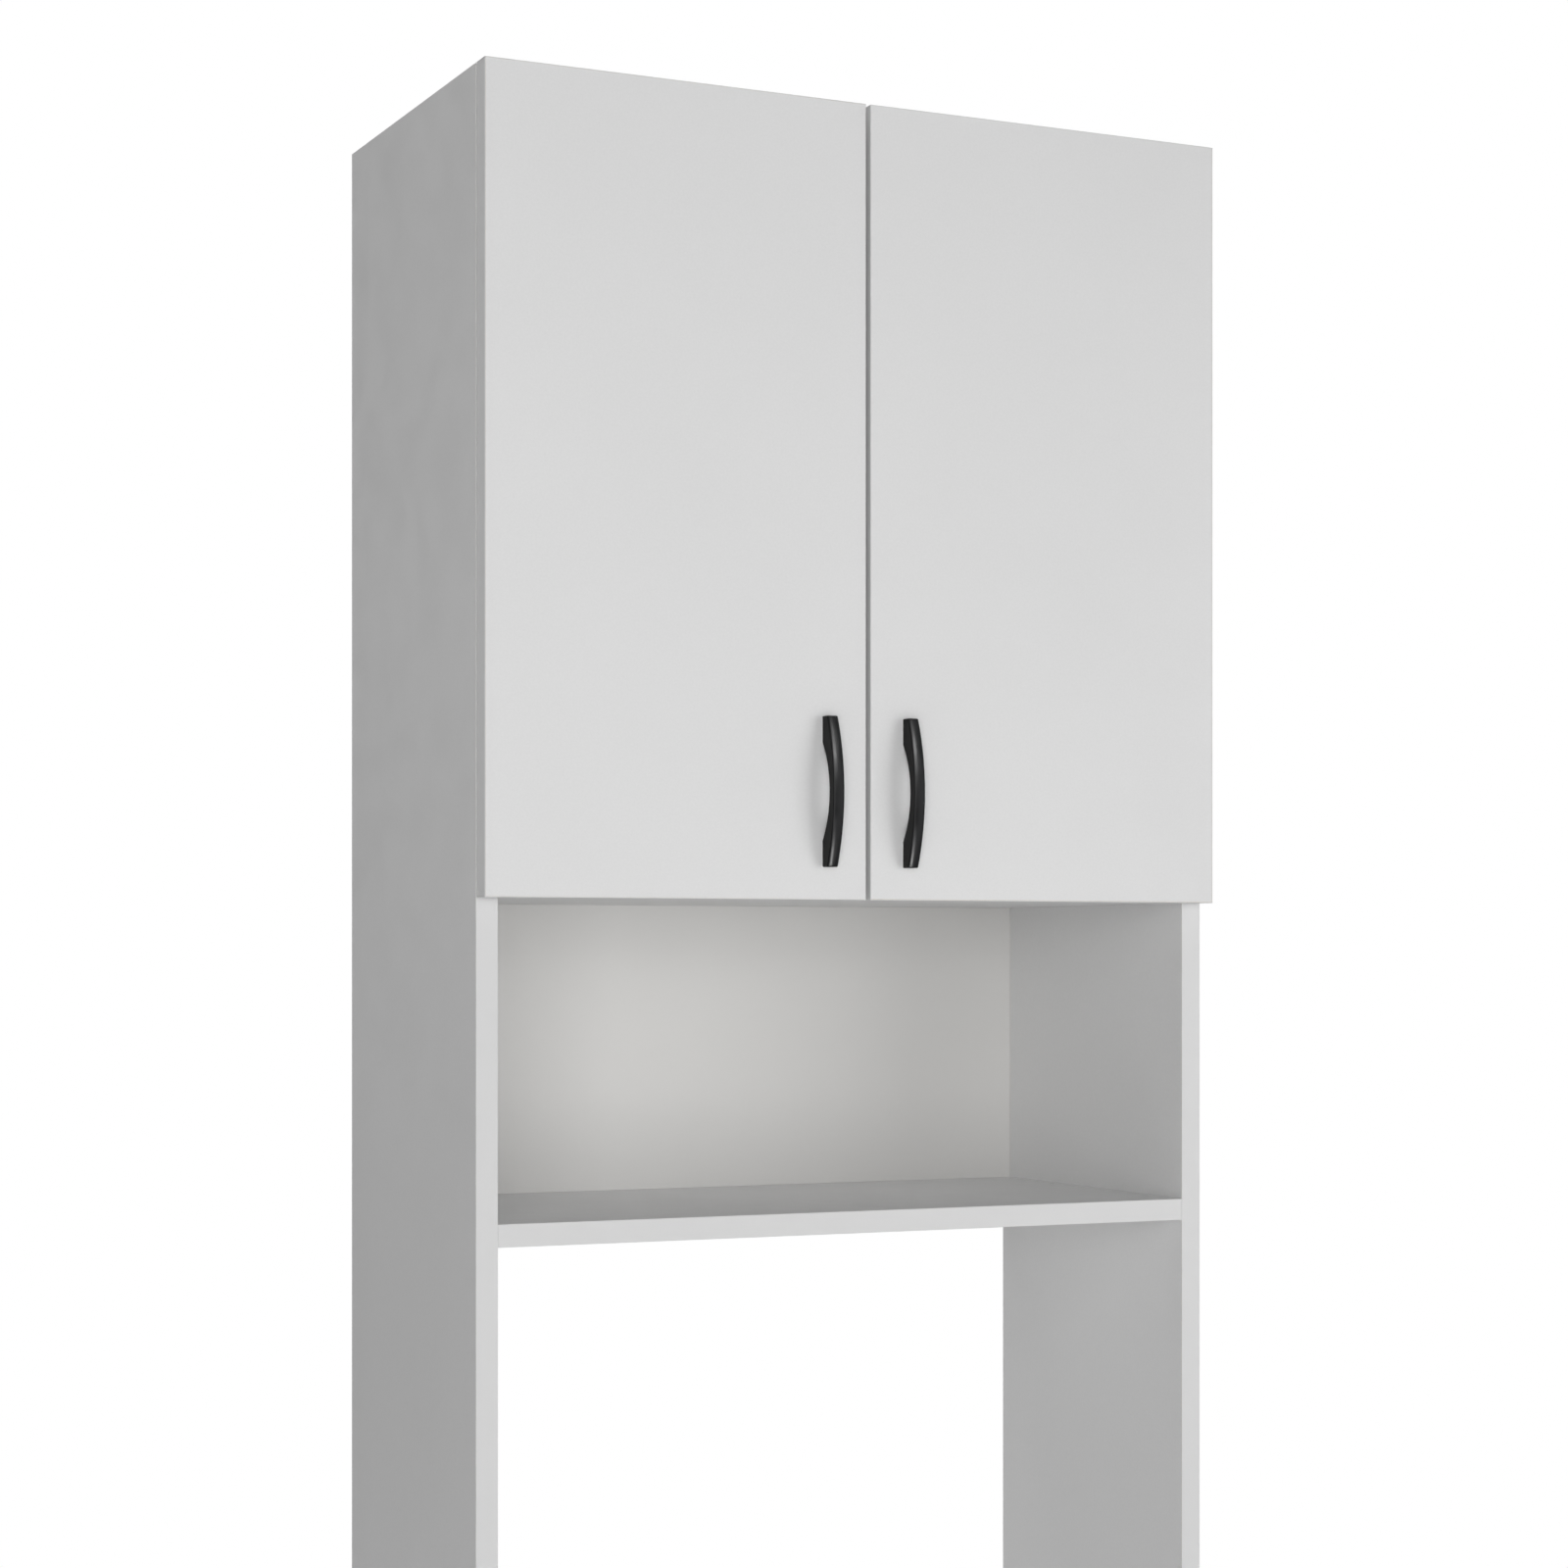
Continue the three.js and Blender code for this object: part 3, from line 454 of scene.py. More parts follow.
def make_board(node, sides):
    """A board as a core of raw chipboard with melamine faces, and the bands on its edges."""
    low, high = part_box(node)
    core = copy_of(node)
    strips = []
    for axis, side in sides:
        outer_low, outer_high = low.copy(), high.copy()
        if side > 0:
            high[axis] -= BAND
            outer_low[axis] = high[axis]
            cut_back(core, axis, side, high[axis])
        else:
            low[axis] += BAND
            outer_high[axis] = low[axis]
            cut_back(core, axis, side, low[axis])
        strips.append(strip(outer_low, outer_high, axis, side))
    extent = high - low
    thin = min(range(3), key=lambda axis: extent[axis])
    core.normal_update()
    for face in core.faces:
        outside = any(abs(face.calc_center_median()[thin] - limit[thin]) < MERGE
                      for limit in (low, high))
        face.material_index = 0 if outside else 1
    ease(core, box_edges(core, low, high), SEAM, segments=1)
    board = piece_from(f"{node}_board", core, node, [melamine, chipboard], [node])
    bands = piece_from(f"{node}_edge_bands", merged(strips), node, [band_plastic])
    return board, bands


for node, sides in BANDED.items():
    board, bands = make_board(node, sides)
    print(board.name, len(board.data.polygons), "faces,", len(sides), "bands")

# %% [markdown]
# ## How the fittings are made
# Handles, hinges and screws are small, so they are modelled in millimetres and in the frame of the
# left side panel: x runs inwards from its outer face, y backwards from the front edge of the
# carcass, z up. The right side is the same shape mirrored. Stamped and cast metal never has sharp
# edges, so each shape is joined or cut with exact booleans and then eased.

# %% Helpers for the fittings
MM = 0.001
WELD = 0.001
CUT_WELD = 0.002
ROUND = 32
SMOOTH_BELOW = math.radians(34)
EASE_ABOVE = math.radians(50)
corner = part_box("left_side_panel")[0]
SIDES = {
    "left": Matrix.Translation((corner.x, corner.y, 0)) @ Matrix.Diagonal((MM, MM, MM, 1)),
    "right": Matrix.Translation((-corner.x, corner.y, 0)) @ Matrix.Diagonal((-MM, MM, MM, 1)),
}


def rod(diameter, start, end, steps=ROUND):
    """A round bar between the middles of its two ends."""
    start, end = Vector(start), Vector(end)
    run = end - start
    turn = run.to_track_quat("Z", "Y").to_matrix().to_4x4()
    shape = bmesh.new()
    bmesh.ops.create_cone(
        shape, cap_ends=True, cap_tris=False, segments=steps, radius1=diameter / 2,
        radius2=diameter / 2, depth=run.length,
        matrix=Matrix.Translation((start + end) / 2) @ turn)
    return shape


def strap(width, start, end, low, high):
    """A flat bar with round ends, between two heights: the hull of two discs."""
    shape = bmesh.new()
    for at in (start, end):
        for z in (low, high):
            bmesh.ops.create_circle(shape, segments=ROUND, radius=width / 2,
                                    matrix=Matrix.Translation((*at, z)))
    hull = bmesh.ops.convex_hull(shape, input=shape.verts)
    inside = [item for item in hull["geom_interior"] if isinstance(item, bmesh.types.BMVert)]
    bmesh.ops.delete(shape, geom=inside, context="VERTS")
    bmesh.ops.remove_doubles(shape, verts=shape.verts, dist=WELD)
    bmesh.ops.dissolve_limit(shape, angle_limit=LEVEL, verts=shape.verts, edges=shape.edges)
    return shape


def box(low, high):
    """A block between two corners given as plain numbers."""
    return block(Vector(low), Vector(high))


def boolean(shape, tools, operation="DIFFERENCE"):
    """Cuts a mesh with others, or joins them, with the exact boolean."""
    pair = []
    for part in (shape, merged(tools)):
        mesh = bpy.data.meshes.new("operand")
        part.to_mesh(mesh)
        part.free()
        operand = bpy.data.objects.new("operand", mesh)
        scene.collection.objects.link(operand)
        pair.append(operand)
    step = pair[0].modifiers.new("boolean", "BOOLEAN")
    step.object = pair[1]
    step.operation = operation
    step.solver = "EXACT"
    step.use_self = True
    result = bmesh.new()
    result.from_object(pair[0], bpy.context.evaluated_depsgraph_get())
    for operand in pair:
        mesh = operand.data
        bpy.data.objects.remove(operand)
        bpy.data.meshes.remove(mesh)
    bmesh.ops.remove_doubles(result, verts=result.verts, dist=CUT_WELD)
    bmesh.ops.dissolve_limit(result, angle_limit=LEVEL, verts=result.verts, edges=result.edges)
    return result


def sharp(shape):
    """The edges that are sharp to the touch."""
    return [edge for edge in shape.edges
            if edge.is_manifold and edge.calc_face_angle() > EASE_ABOVE]


def fitted(template, side, at=(0, 0, 0), turn=(0, "X")):
    """A copy of a template, turned, set at its place and brought into the cabinet's metres."""
    shape = template.copy()
    move = SIDES[side] @ Matrix.Translation(at) @ Matrix.Rotation(math.radians(turn[0]), 4, turn[1])
    bmesh.ops.transform(shape, matrix=move, verts=shape.verts)
    if side == "right":
        bmesh.ops.reverse_faces(shape, faces=shape.faces)
    return shape


def rounded(piece):
    """Smooth shading that keeps flat faces flat."""
    piece.data.shade_smooth()
    piece.data.set_sharp_from_angle(angle=SMOOTH_BELOW)
    weigh = piece.modifiers.new("flat faces stay flat", "WEIGHTED_NORMAL")
    weigh.keep_sharp = True
    return piece


print("side frames at x =", [round(place.translation.x, 3) for place in SIDES.values()])

# %% [markdown]
# ## Bow handles
# The handles are zinc castings with a glossy black lacquer. Each is a bow with two broad feet and
# square ends, and its front is crowned. A profile swept along a curve would taper nowhere and could
# not widen into feet. So two arcs are spun from single points, closed to one outline and extruded
# to the width. The front edges are rolled over while the shape is stretched, so that the crown is
# wide and shallow, and then the other edges are eased.

# %% Black lacquer
ORANGE_PEEL = 2.2
PEEL_DEPTH = 0.00003
RUB_MARK = 14
RUB_PATCHES = {1: 0.35, 2: 0.7}
LACQUER_ROUGHNESS = {3: 0.28, 4: 0.36}


def black_lacquer():
    """Sprayed lacquer over a casting: deep black, a high gloss and a slight orange peel."""
    material, tree, shader, place = new_material("sprayed_gloss_black_lacquer", IOR=1.5,
                                                 Specular_IOR_Level=0.08)
    peel = add(tree, "TexNoise", {"Vector": place, "Scale": per_metre(ORANGE_PEEL), "Detail": 1})
    rub = add(tree, "TexNoise", {"Vector": place, "Scale": per_metre(RUB_MARK), "Detail": 4})
    sheen = add(tree, "MapRange", {0: rub.outputs[0], **RUB_PATCHES, **LACQUER_ROUGHNESS})
    tone = add(tree, "Mix", {0: rub.outputs[0], 6: linear("#040404"), 7: linear("#080809")},
               data_type="RGBA")
    bump = add(tree, "Bump", {"Height": peel.outputs[0], "Distance": PEEL_DEPTH, "Strength": 0.4})
    tree.links.new(tone.outputs[2], shader.inputs["Base Color"])
    tree.links.new(sheen.outputs[0], shader.inputs["Roughness"])
    tree.links.new(bump.outputs[0], shader.inputs["Normal"])
    return material


lacquer = black_lacquer()
print("made", lacquer.name)

# %% Shape the handle
HANDLE_LENGTH = 120
HANDLE_WIDTH = 9.5
HANDLE_RISE = 21
HANDLE_END_RISE = 9.5
HANDLE_BAR = 9
HANDLE_FOOT = 22
HANDLE_ARC_STEPS = 36
HANDLE_ROLL = 4.2
HANDLE_CROWN = 1.2
HANDLE_EASE = 0.9
HANDLE_X = 289
HANDLE_AT = (HANDLE_X, -20, 1224)
NEAR = 0.01


def arc_radius(half, rise):
    """The radius of an arc from half its length and its rise."""
    return (half ** 2 + rise ** 2) / (2 * rise)


def arc(shape, half, low, high):
    """A chain of edges that rises from low to high and back, over twice the half length."""
    radius = arc_radius(half, high - low)
    turn = 2 * math.asin(half / radius)
    first = shape.verts.new((0, -low, -half))
    bmesh.ops.spin(shape, geom=[first], cent=(0, radius - high, 0), axis=(1, 0, 0), angle=-turn,
                   steps=HANDLE_ARC_STEPS)


def side_view():
    """The outline of the bow from the side: two arcs, joined by the square feet."""
    shape = bmesh.new()
    half = HANDLE_LENGTH / 2
    span = half - HANDLE_FOOT
    arc(shape, half, HANDLE_END_RISE, HANDLE_RISE)
    arc(shape, span, 0, HANDLE_RISE - HANDLE_BAR)
    for end in (-1, 1):
        foot = [shape.verts.new((0, y, end * z)) for y, z in (
            (-HANDLE_END_RISE, half), (0, half), (0, span))]
        for one, next_one in zip(foot, foot[1:]):
            shape.edges.new((one, next_one))
    bmesh.ops.remove_doubles(shape, verts=shape.verts, dist=WELD)
    return shape


def front_edges(shape):
    """The edges that run along the two sides of the outer arc."""
    radius = arc_radius(HANDLE_LENGTH / 2, HANDLE_RISE - HANDLE_END_RISE)
    middle = Vector((radius - HANDLE_RISE, 0))
    return [edge for edge in sharp(shape)
            if all(abs((vert.co.yz - middle).length - radius) < NEAR for vert in edge.verts)
            and abs(edge.verts[0].co.x - edge.verts[1].co.x) < 1]


def bow():
    """The handle: the outline grown to its width, with a shallow crown and eased edges."""
    shape = side_view()
    outline = bmesh.ops.contextual_create(shape, geom=shape.edges[:])["faces"]
    bmesh.ops.translate(shape, vec=(-HANDLE_WIDTH / 2, 0, 0), verts=shape.verts)
    grown = bmesh.ops.extrude_face_region(shape, geom=outline)["geom"]
    far = [item for item in grown if isinstance(item, bmesh.types.BMVert)]
    bmesh.ops.translate(shape, vec=(HANDLE_WIDTH, 0, 0), verts=far)
    bmesh.ops.recalc_face_normals(shape, faces=shape.faces)
    front = front_edges(shape)
    flat = HANDLE_ROLL / HANDLE_CROWN
    bmesh.ops.scale(shape, vec=(1, flat, 1), verts=shape.verts)
    ease(shape, front, HANDLE_ROLL, segments=9, clamp=False)
    bmesh.ops.scale(shape, vec=(1, 1 / flat, 1), verts=shape.verts)
    off_the_door = [edge for edge in sharp(shape) if any(vert.co.y < -NEAR for vert in edge.verts)]
    ease(shape, off_the_door, HANDLE_EASE, segments=3, clamp=False)
    return shape


handle = bow()
glossy = bpy.data.collections.new("black_handles")
for side in SIDES:
    node = f"{side}_handle"
    shape = fitted(handle, side, HANDLE_AT)
    piece = rounded(piece_from(f"{node}_bow", shape, node, [lacquer], [node]))
    glossy.objects.link(piece)
    print(piece.name, len(piece.data.polygons), "faces")

# %% [markdown]
# Black gloss shows nothing but reflections. Two wide, low lamps are linked to the handles alone.
# They draw the soft gleam on the upper third of the bow and the small one on its lower foot, and
# leave the white boards as they are.

# %% Gleams on the handles
GLEAMS = {
    "gleam_high": {"at": (0.0, -2.6, 2.5), "side": 1.8, "watts": 220},
    "gleam_low": {"at": (-0.04, -1.4, 0.3), "side": 0.7, "watts": 60},
}
GLEAM_HEIGHT = 0.42
for name, settings in GLEAMS.items():
    gleam = lamp(name, **settings)
    gleam.data.shape = "RECTANGLE"
    gleam.data.size_y = gleam.data.size * GLEAM_HEIGHT
    gleam.light_linking.receiver_collection = glossy
print(len(GLEAMS), "gleams")

# %% [markdown]
# ## Bare metals
# The hinges, their screws and the lugs under the shelf are steel with a bright nickel plating. The
# cam discs, brackets, nails and other screws are zinc: cast or plated, greyer and duller than
# nickel, with a faint mottle. Both are metals, so their colour is the colour of their reflection.

# %% Metal materials
PLATING_MOTTLE = 6
CAST_MOTTLE = 3
METAL_DEPTH = 0.00002
GLOSS_SPREAD = 0.08


def bare_metal(name, light, dark, mottle, roughness, grain):
    """A plated or cast metal, with uneven tone and gloss at the size of its mottle."""
    material, tree, shader, place = new_material(name, Metallic=1.0)
    cloud = add(tree, "TexNoise", {"Vector": place, "Scale": per_metre(mottle), "Detail": 4})
    fine = add(tree, "TexNoise", {"Vector": place, "Scale": per_metre(grain), "Detail": 2})
    tone = add(tree, "Mix", {0: cloud.outputs[0], 6: linear(light), 7: linear(dark)},
               data_type="RGBA")
    sheen = add(tree, "MapRange", {0: cloud.outputs[0], **MOST_NOISE, 3: roughness,
                                   4: roughness + GLOSS_SPREAD})
    bump = add(tree, "Bump", {"Height": fine.outputs[0], "Distance": METAL_DEPTH, "Strength": 0.5})
    tree.links.new(tone.outputs[2], shader.inputs["Base Color"])
    tree.links.new(sheen.outputs[0], shader.inputs["Roughness"])
    tree.links.new(bump.outputs[0], shader.inputs["Normal"])
    return material


nickel = bare_metal("nickel_plated_steel", "#CFCBC4", "#C2BEB7", PLATING_MOTTLE,
                    roughness=0.24, grain=0.6)
zinc = bare_metal("die_cast_zinc", "#B4B6B8", "#A0A2A4", CAST_MOTTLE,
                  roughness=0.38, grain=0.4)
print("made", nickel.name, "and", zinc.name)

# %% [markdown]
# ## Screw heads
# Everything is screwed with a cross-head screwdriver. A head is a short cylinder with its rim
# rolled over, and two tapered slots are cut across each other into it. Cut slots catch the light
# in close views, which a bump in the material would not.

# %% Shape a screw head
HEAD_ROLL = 0.6
RECESS = 0.6
SLOT_LENGTH = 0.56
SLOT_WIDTH = 0.15
SLOT_TAPER = (0.6, 0.7, 1)


def cross(diameter, top, depth):
    """The two slots of a cross recess, a little wider at the top."""
    slots = []
    for turn in (0, 90):
        slot = box((-diameter * SLOT_LENGTH / 2, -diameter * SLOT_WIDTH / 2, top - depth),
                   (diameter * SLOT_LENGTH / 2, diameter * SLOT_WIDTH / 2, top + depth))
        low = [vert for vert in slot.verts if vert.co.z < top]
        bmesh.ops.scale(slot, vec=SLOT_TAPER, verts=low)
        bmesh.ops.rotate(slot, matrix=Matrix.Rotation(math.radians(turn), 3, "Z"), verts=slot.verts)
        slots.append(slot)
    return slots


def screw_head(diameter, height, shank=0, shank_diameter=4):
    """A pan head that stands on z = 0, with its shank below."""
    head = rod(diameter, (0, 0, 0), (0, 0, height))
    rim = [edge for edge in head.edges if all(vert.co.z > height / 2 for vert in edge.verts)]
    ease(head, rim, height * HEAD_ROLL, segments=4, clamp=False)
    parts = [boolean(head, cross(diameter, height, height * RECESS))]
    if shank:
        parts.append(rod(shank_diameter, (0, 0, -shank), (0, 0, height / 4), steps=16))
    return merged(parts)


handle_screw = screw_head(diameter=8.5, height=2.6, shank=25.5)
bracket_screw = screw_head(diameter=8, height=2.2)
plate_screw = screw_head(diameter=8, height=2, shank=12.8, shank_diameter=5)
cup_screw = screw_head(diameter=7, height=1.4, shank=11.8)
arm_screw = screw_head(diameter=7, height=1.2)
print("a screw head has", len(handle_screw.faces), "faces")

# %% [markdown]
# ## Concealed hinges
# A cup hinge has five parts. The cup is sunk into the door, the plate is screwed to the side
# panel, and the arm clips onto the plate. An outer link and a slimmer inner link join cup and arm,
# and they carry the door forwards before it turns, so that it clears its neighbour. Bars and eyes
# are hulls of discs, joined by booleans. Each part is made once and copied to its four places.

# %% Sizes and helpers for the hinge
BOARD = 18
DOOR_BACK = -2
CUP_X, CUP_BORE, CUP_DEPTH = 22.5, 35, 12.2
CUP_FACE = -0.8
CUP_FIT, CUP_LIP, CUP_FLOOR = 0.6, 3, 0.8
CUP_ROUND = 64
POCKET_FIT, POCKET_HALF = 2.2, 8
WING_WIDTH, WING_X, WING_REACH = 14, 32, 19
CUP_PIVOT, INNER_PIVOT = (10.3, -4.3), (17.4, -10)
OUTER_KNEE, INNER_KNEE = (13.7, -8.5), (32, -11)
ARM_PIVOT, SLIDER = (31.5, 3.4), (36.8, 10)
SLOT_START, SLOT_END = (36.9, 10.1), (33.2, -3)
HINGE_PIN, PIN_HOLE, PIN_SLOT = 2.5, 3.1, 3.9
CUP_PIN_HALF = 8.8
PIN_HEAD, SLIDER_HEAD = 0.3, 0.5
LINK_BAR, LINK_EYE = 3.6, 5
LINK_EASE = 0.25
INNER_HALF, OUTER_INSIDE, OUTER_OUTSIDE = 2.4, 3, 4.8
ARM_INSIDE, ARM_OUTSIDE = 5.3, 6.7
ARM_NOSE, ARM_CHEEK = 5.4, 5.9
ARM_FLANK = (24.5, 6.1)
ARM_BACK, ARM_END = 38, 62
WEB_START = (36.6, 13)
HINGE_LINE = 37
PLATE_WIDTH, PLATE_REACH, PLATE_TOP = 16, 16, 20
RAIL_START, RAIL_END, RAIL_HALF = 19, (36.3, 55), 5
STAMPED_EASE = 0.35


def axle(diameter, at, half):
    """A pin or a drill across the hinge, as long on both sides of its middle."""
    return rod(diameter, (*at, -half), (*at, half), steps=24)


def both(shape):
    """A cheek and its mirror image on the other side of z = 0."""
    twin = shape.copy()
    bmesh.ops.scale(twin, vec=(1, 1, -1), verts=twin.verts)
    bmesh.ops.reverse_faces(twin, faces=twin.faces)
    return [shape, twin]


def stamped(shape, radius=STAMPED_EASE):
    """Takes the sharpness off every edge, as pressing and tumbling do."""
    ease(shape, sharp(shape), radius)
    return shape


print("the hinge stands", ARM_BACK - BOARD, "mm off the side panel")

# %% Shape the cup and the links
def hinge_cup():
    """A drawn cup with a lip and two wings, a pocket with flat cheeks, and both pins."""
    bottom = DOOR_BACK - CUP_DEPTH
    barrel = rod(CUP_BORE - CUP_FIT, (CUP_X, bottom, 0), (CUP_X, CUP_FACE, 0), steps=CUP_ROUND)
    rim = rod(CUP_BORE + CUP_LIP, (CUP_X, DOOR_BACK, 0), (CUP_X, CUP_FACE, 0), steps=CUP_ROUND)
    wing = strap(WING_WIDTH, (WING_X, -WING_REACH), (WING_X, WING_REACH), -CUP_FACE, -DOOR_BACK)
    bmesh.ops.rotate(wing, matrix=Matrix.Rotation(math.radians(90), 3, "X"), verts=wing.verts)
    body = boolean(barrel, [rim, wing], "UNION")
    pocket = boolean(
        rod(CUP_BORE - POCKET_FIT, (CUP_X, bottom + CUP_FLOOR, 0), (CUP_X, 3, 0), steps=CUP_ROUND),
        [box((0, bottom, -POCKET_HALF), (CUP_X + CUP_BORE, 4, POCKET_HALF))], "INTERSECT")
    shell = stamped(boolean(body, [pocket]))
    pins = [axle(HINGE_PIN, at, CUP_PIN_HALF) for at in (CUP_PIVOT, INNER_PIVOT)]
    return merged([shell, *pins])


def hinge_outer_link():
    """Two bent cheeks joined by a barrel, bored for the pins of the cup and of the arm."""
    layer = (OUTER_INSIDE, OUTER_OUTSIDE)
    cheek = boolean(strap(LINK_BAR, CUP_PIVOT, OUTER_KNEE, *layer), [
        strap(LINK_BAR, OUTER_KNEE, ARM_PIVOT, *layer),
        strap(LINK_EYE, ARM_PIVOT, (ARM_PIVOT[0] + NEAR, ARM_PIVOT[1]), *layer)], "UNION")
    body = boolean(axle(LINK_EYE, CUP_PIVOT, OUTER_OUTSIDE), both(cheek), "UNION")
    drills = [axle(PIN_HOLE, at, 6) for at in (CUP_PIVOT, ARM_PIVOT)]
    return stamped(boolean(body, drills), LINK_EASE)


def hinge_inner_link():
    """A slimmer bent bar, bored for the cup's second pin, with the pin that slides in the arm."""
    layer = (-INNER_HALF, INNER_HALF)
    bar = boolean(axle(LINK_EYE, INNER_PIVOT, INNER_HALF), [
        strap(LINK_BAR, INNER_PIVOT, INNER_KNEE, *layer),
        strap(LINK_BAR, INNER_KNEE, SLIDER, *layer)], "UNION")
    bored = stamped(boolean(bar, [axle(PIN_HOLE, INNER_PIVOT, 4)]), LINK_EASE)
    return merged([bored, axle(HINGE_PIN, SLIDER, ARM_OUTSIDE + SLIDER_HEAD)])


outer_link = hinge_outer_link()
print("the outer link has", len(outer_link.faces), "faces")

# %% Shape the arm and the plate
def hinge_arm():
    """A channel of two slotted cheeks and a web, with the pin of the outer link."""
    layer = (ARM_INSIDE, ARM_OUTSIDE)
    cheek = boolean(strap(ARM_CHEEK, SLOT_START, SLOT_END, *layer), [
        strap(ARM_NOSE, ARM_PIVOT, SLOT_START, *layer),
        box((*ARM_FLANK, ARM_INSIDE), (ARM_BACK, ARM_END, ARM_OUTSIDE))], "UNION")
    slotted = boolean(cheek, [strap(PIN_SLOT, SLOT_START, SLOT_END, 4, 8)])
    web = box((*WEB_START, -ARM_OUTSIDE), (ARM_BACK, ARM_END, ARM_OUTSIDE))
    channel = stamped(boolean(web, both(slotted), "UNION"))
    return merged([channel, axle(HINGE_PIN, ARM_PIVOT, ARM_OUTSIDE + PIN_HEAD)])


def hinge_plate():
    """A wing that lies on the side panel, and the rail that the arm clips onto."""
    wing = strap(PLATE_WIDTH, (HINGE_LINE, -PLATE_REACH), (HINGE_LINE, PLATE_REACH),
                 BOARD, PLATE_TOP)
    turn = Matrix(((0, 0, 1), (1, 0, 0), (0, 1, 0)))
    bmesh.ops.rotate(wing, matrix=turn, verts=wing.verts)
    rail = box((BOARD, RAIL_START, -RAIL_HALF), (*RAIL_END, RAIL_HALF))
    return stamped(boolean(wing, [rail], "UNION"))


HINGE = {
    "cup": hinge_cup(),
    "outer_link": outer_link,
    "inner_link": hinge_inner_link(),
    "arm": hinge_arm(),
    "plate": hinge_plate(),
}
HINGE_SCREWS = {
    "cup": (cup_screw, (-90, "X"), [(WING_X, CUP_FACE, up) for up in (-WING_REACH, WING_REACH)]),
    "arm": (arm_screw, (90, "Y"), [(ARM_BACK, y, 0) for y in (27, 48)]),
    "plate": (plate_screw, (90, "Y"),
              [(PLATE_TOP, HINGE_LINE, up) for up in (-PLATE_REACH, PLATE_REACH)]),
}
print({part: len(shape.faces) for part, shape in HINGE.items()})

# %% Hang the doors
HINGE_HEIGHTS = {"upper": 1675, "lower": 1238}
for side in SIDES:
    for level, z in HINGE_HEIGHTS.items():
        for part, template in HINGE.items():
            node = f"{side}_{level}_hinge_{part}"
            shape = fitted(template, side, (0, 0, z))
            rounded(piece_from(f"{node}_stamped", shape, node, [nickel], [node]))
        for part, (template, turn, places) in HINGE_SCREWS.items():
            node = f"{side}_{level}_hinge_{part}"
            screws = merged([fitted(template, side, (x, y, z + up), turn) for x, y, up in places])
            rounded(piece_from(f"{node}_screws", screws, node, [nickel]))

# %% [markdown]
# ## Cam connectors
# A cam disc is a zinc casting that sits in a blind bore and pulls a bolt tight when it is turned by
# half. Its face is the part that shows: a disc with a cross recess and a small notch, which tells
# which way it is turned. One template is turned and copied to all fourteen places.

# %% Make the cams and the handle screws
CAM_DIAMETER = 14.4
CAM_FACE = 8.7
CAM_BACK = -3.2
CAM_REACH = 34
CAM_EASE = 0.5
CAM_CROSS = 0.9
CROSS_DEPTH = 3
NOTCH_START, NOTCH_END, NOTCH_HALF, NOTCH_DEPTH = 4.6, 8, 0.8, 1.2
BOLT_DIAMETER, BOLT_START = 6, 0.3
THREAD_DIAMETER, THREAD_LENGTH = 5, 11
CAMS = {
    "top_front": (50, 1766, 180),
    "top_rear": (247, 1766, 180),
    "cupboard_front": (50, 1147, 0),
    "cupboard_rear": (247, 1147, 0),
    "niche_front": (50, 879, 180),
    "niche_rear": (247, 879, 180),
    "stretcher": (301, 165, -90),
}
HANDLE_SCREWS = {"upper": 1272, "lower": 1176}


def cam():
    """A cam disc with its recess and notch, and the bolt that it pulls on."""
    disc = rod(CAM_DIAMETER, (0, 0, CAM_BACK), (0, 0, CAM_FACE), steps=48)
    rim = [edge for edge in disc.edges if all(vert.co.z > 0 for vert in edge.verts)]
    ease(disc, rim, CAM_EASE, clamp=False)
    notch = box((NOTCH_START, -NOTCH_HALF, CAM_FACE - NOTCH_DEPTH),
                (NOTCH_END, NOTCH_HALF, CAM_FACE + 1))
    cut = boolean(disc, [*cross(CAM_DIAMETER * CAM_CROSS, CAM_FACE, CROSS_DEPTH), notch])
    bmesh.ops.translate(cut, vec=(CAM_REACH, 0, 0), verts=cut.verts)
    bolt = rod(BOLT_DIAMETER, (BOLT_START, 0, 0), (CAM_REACH, 0, 0), steps=16)
    thread = rod(THREAD_DIAMETER, (-THREAD_LENGTH, 0, 0), (CAM_REACH, 0, 0), steps=16)
    return merged([cut, bolt, thread])


cam_template = cam()
for side in SIDES:
    for place_name, (y, z, turn) in CAMS.items():
        node = f"{side}_{place_name}_cam"
        shape = fitted(cam_template, side, (BOARD, y, z), (turn, "X"))
        rounded(piece_from(f"{node}_casting", shape, node, [zinc], [node]))
    for level, z in HANDLE_SCREWS.items():
        node = f"{side}_{level}_handle_screw"
        shape = fitted(handle_screw, side, (HANDLE_X, DOOR_BACK, z), (-90, "X"))
        rounded(piece_from(f"{node}_cross_head", shape, node, [zinc], [node]))
print(len(CAMS) * 2, "cams")

# %% [markdown]
# ## Back panel
# The back is hardboard, 3 mm of pressed brown fibre with a white lacquer on the side that shows. It
# slides in grooves, and a row of nails holds it to the cupboard floor. The measured sheet is kept
# as it is, and each face gets one of the two materials by the way it looks.

# %% Hardboard materials and the back panel
ROLLER = 4
ROLLER_DEPTH = 0.00006
ROLLED_CLOUD = 120
ROLLED_ROUGHNESS = {3: 0.5, 4: 0.65}
FIBRE = 1.5
FIBRE_DEPTH = 0.0002
PRESS_STAIN = 90
STAIN_TONES = {3: 0.88, 4: 1.0}


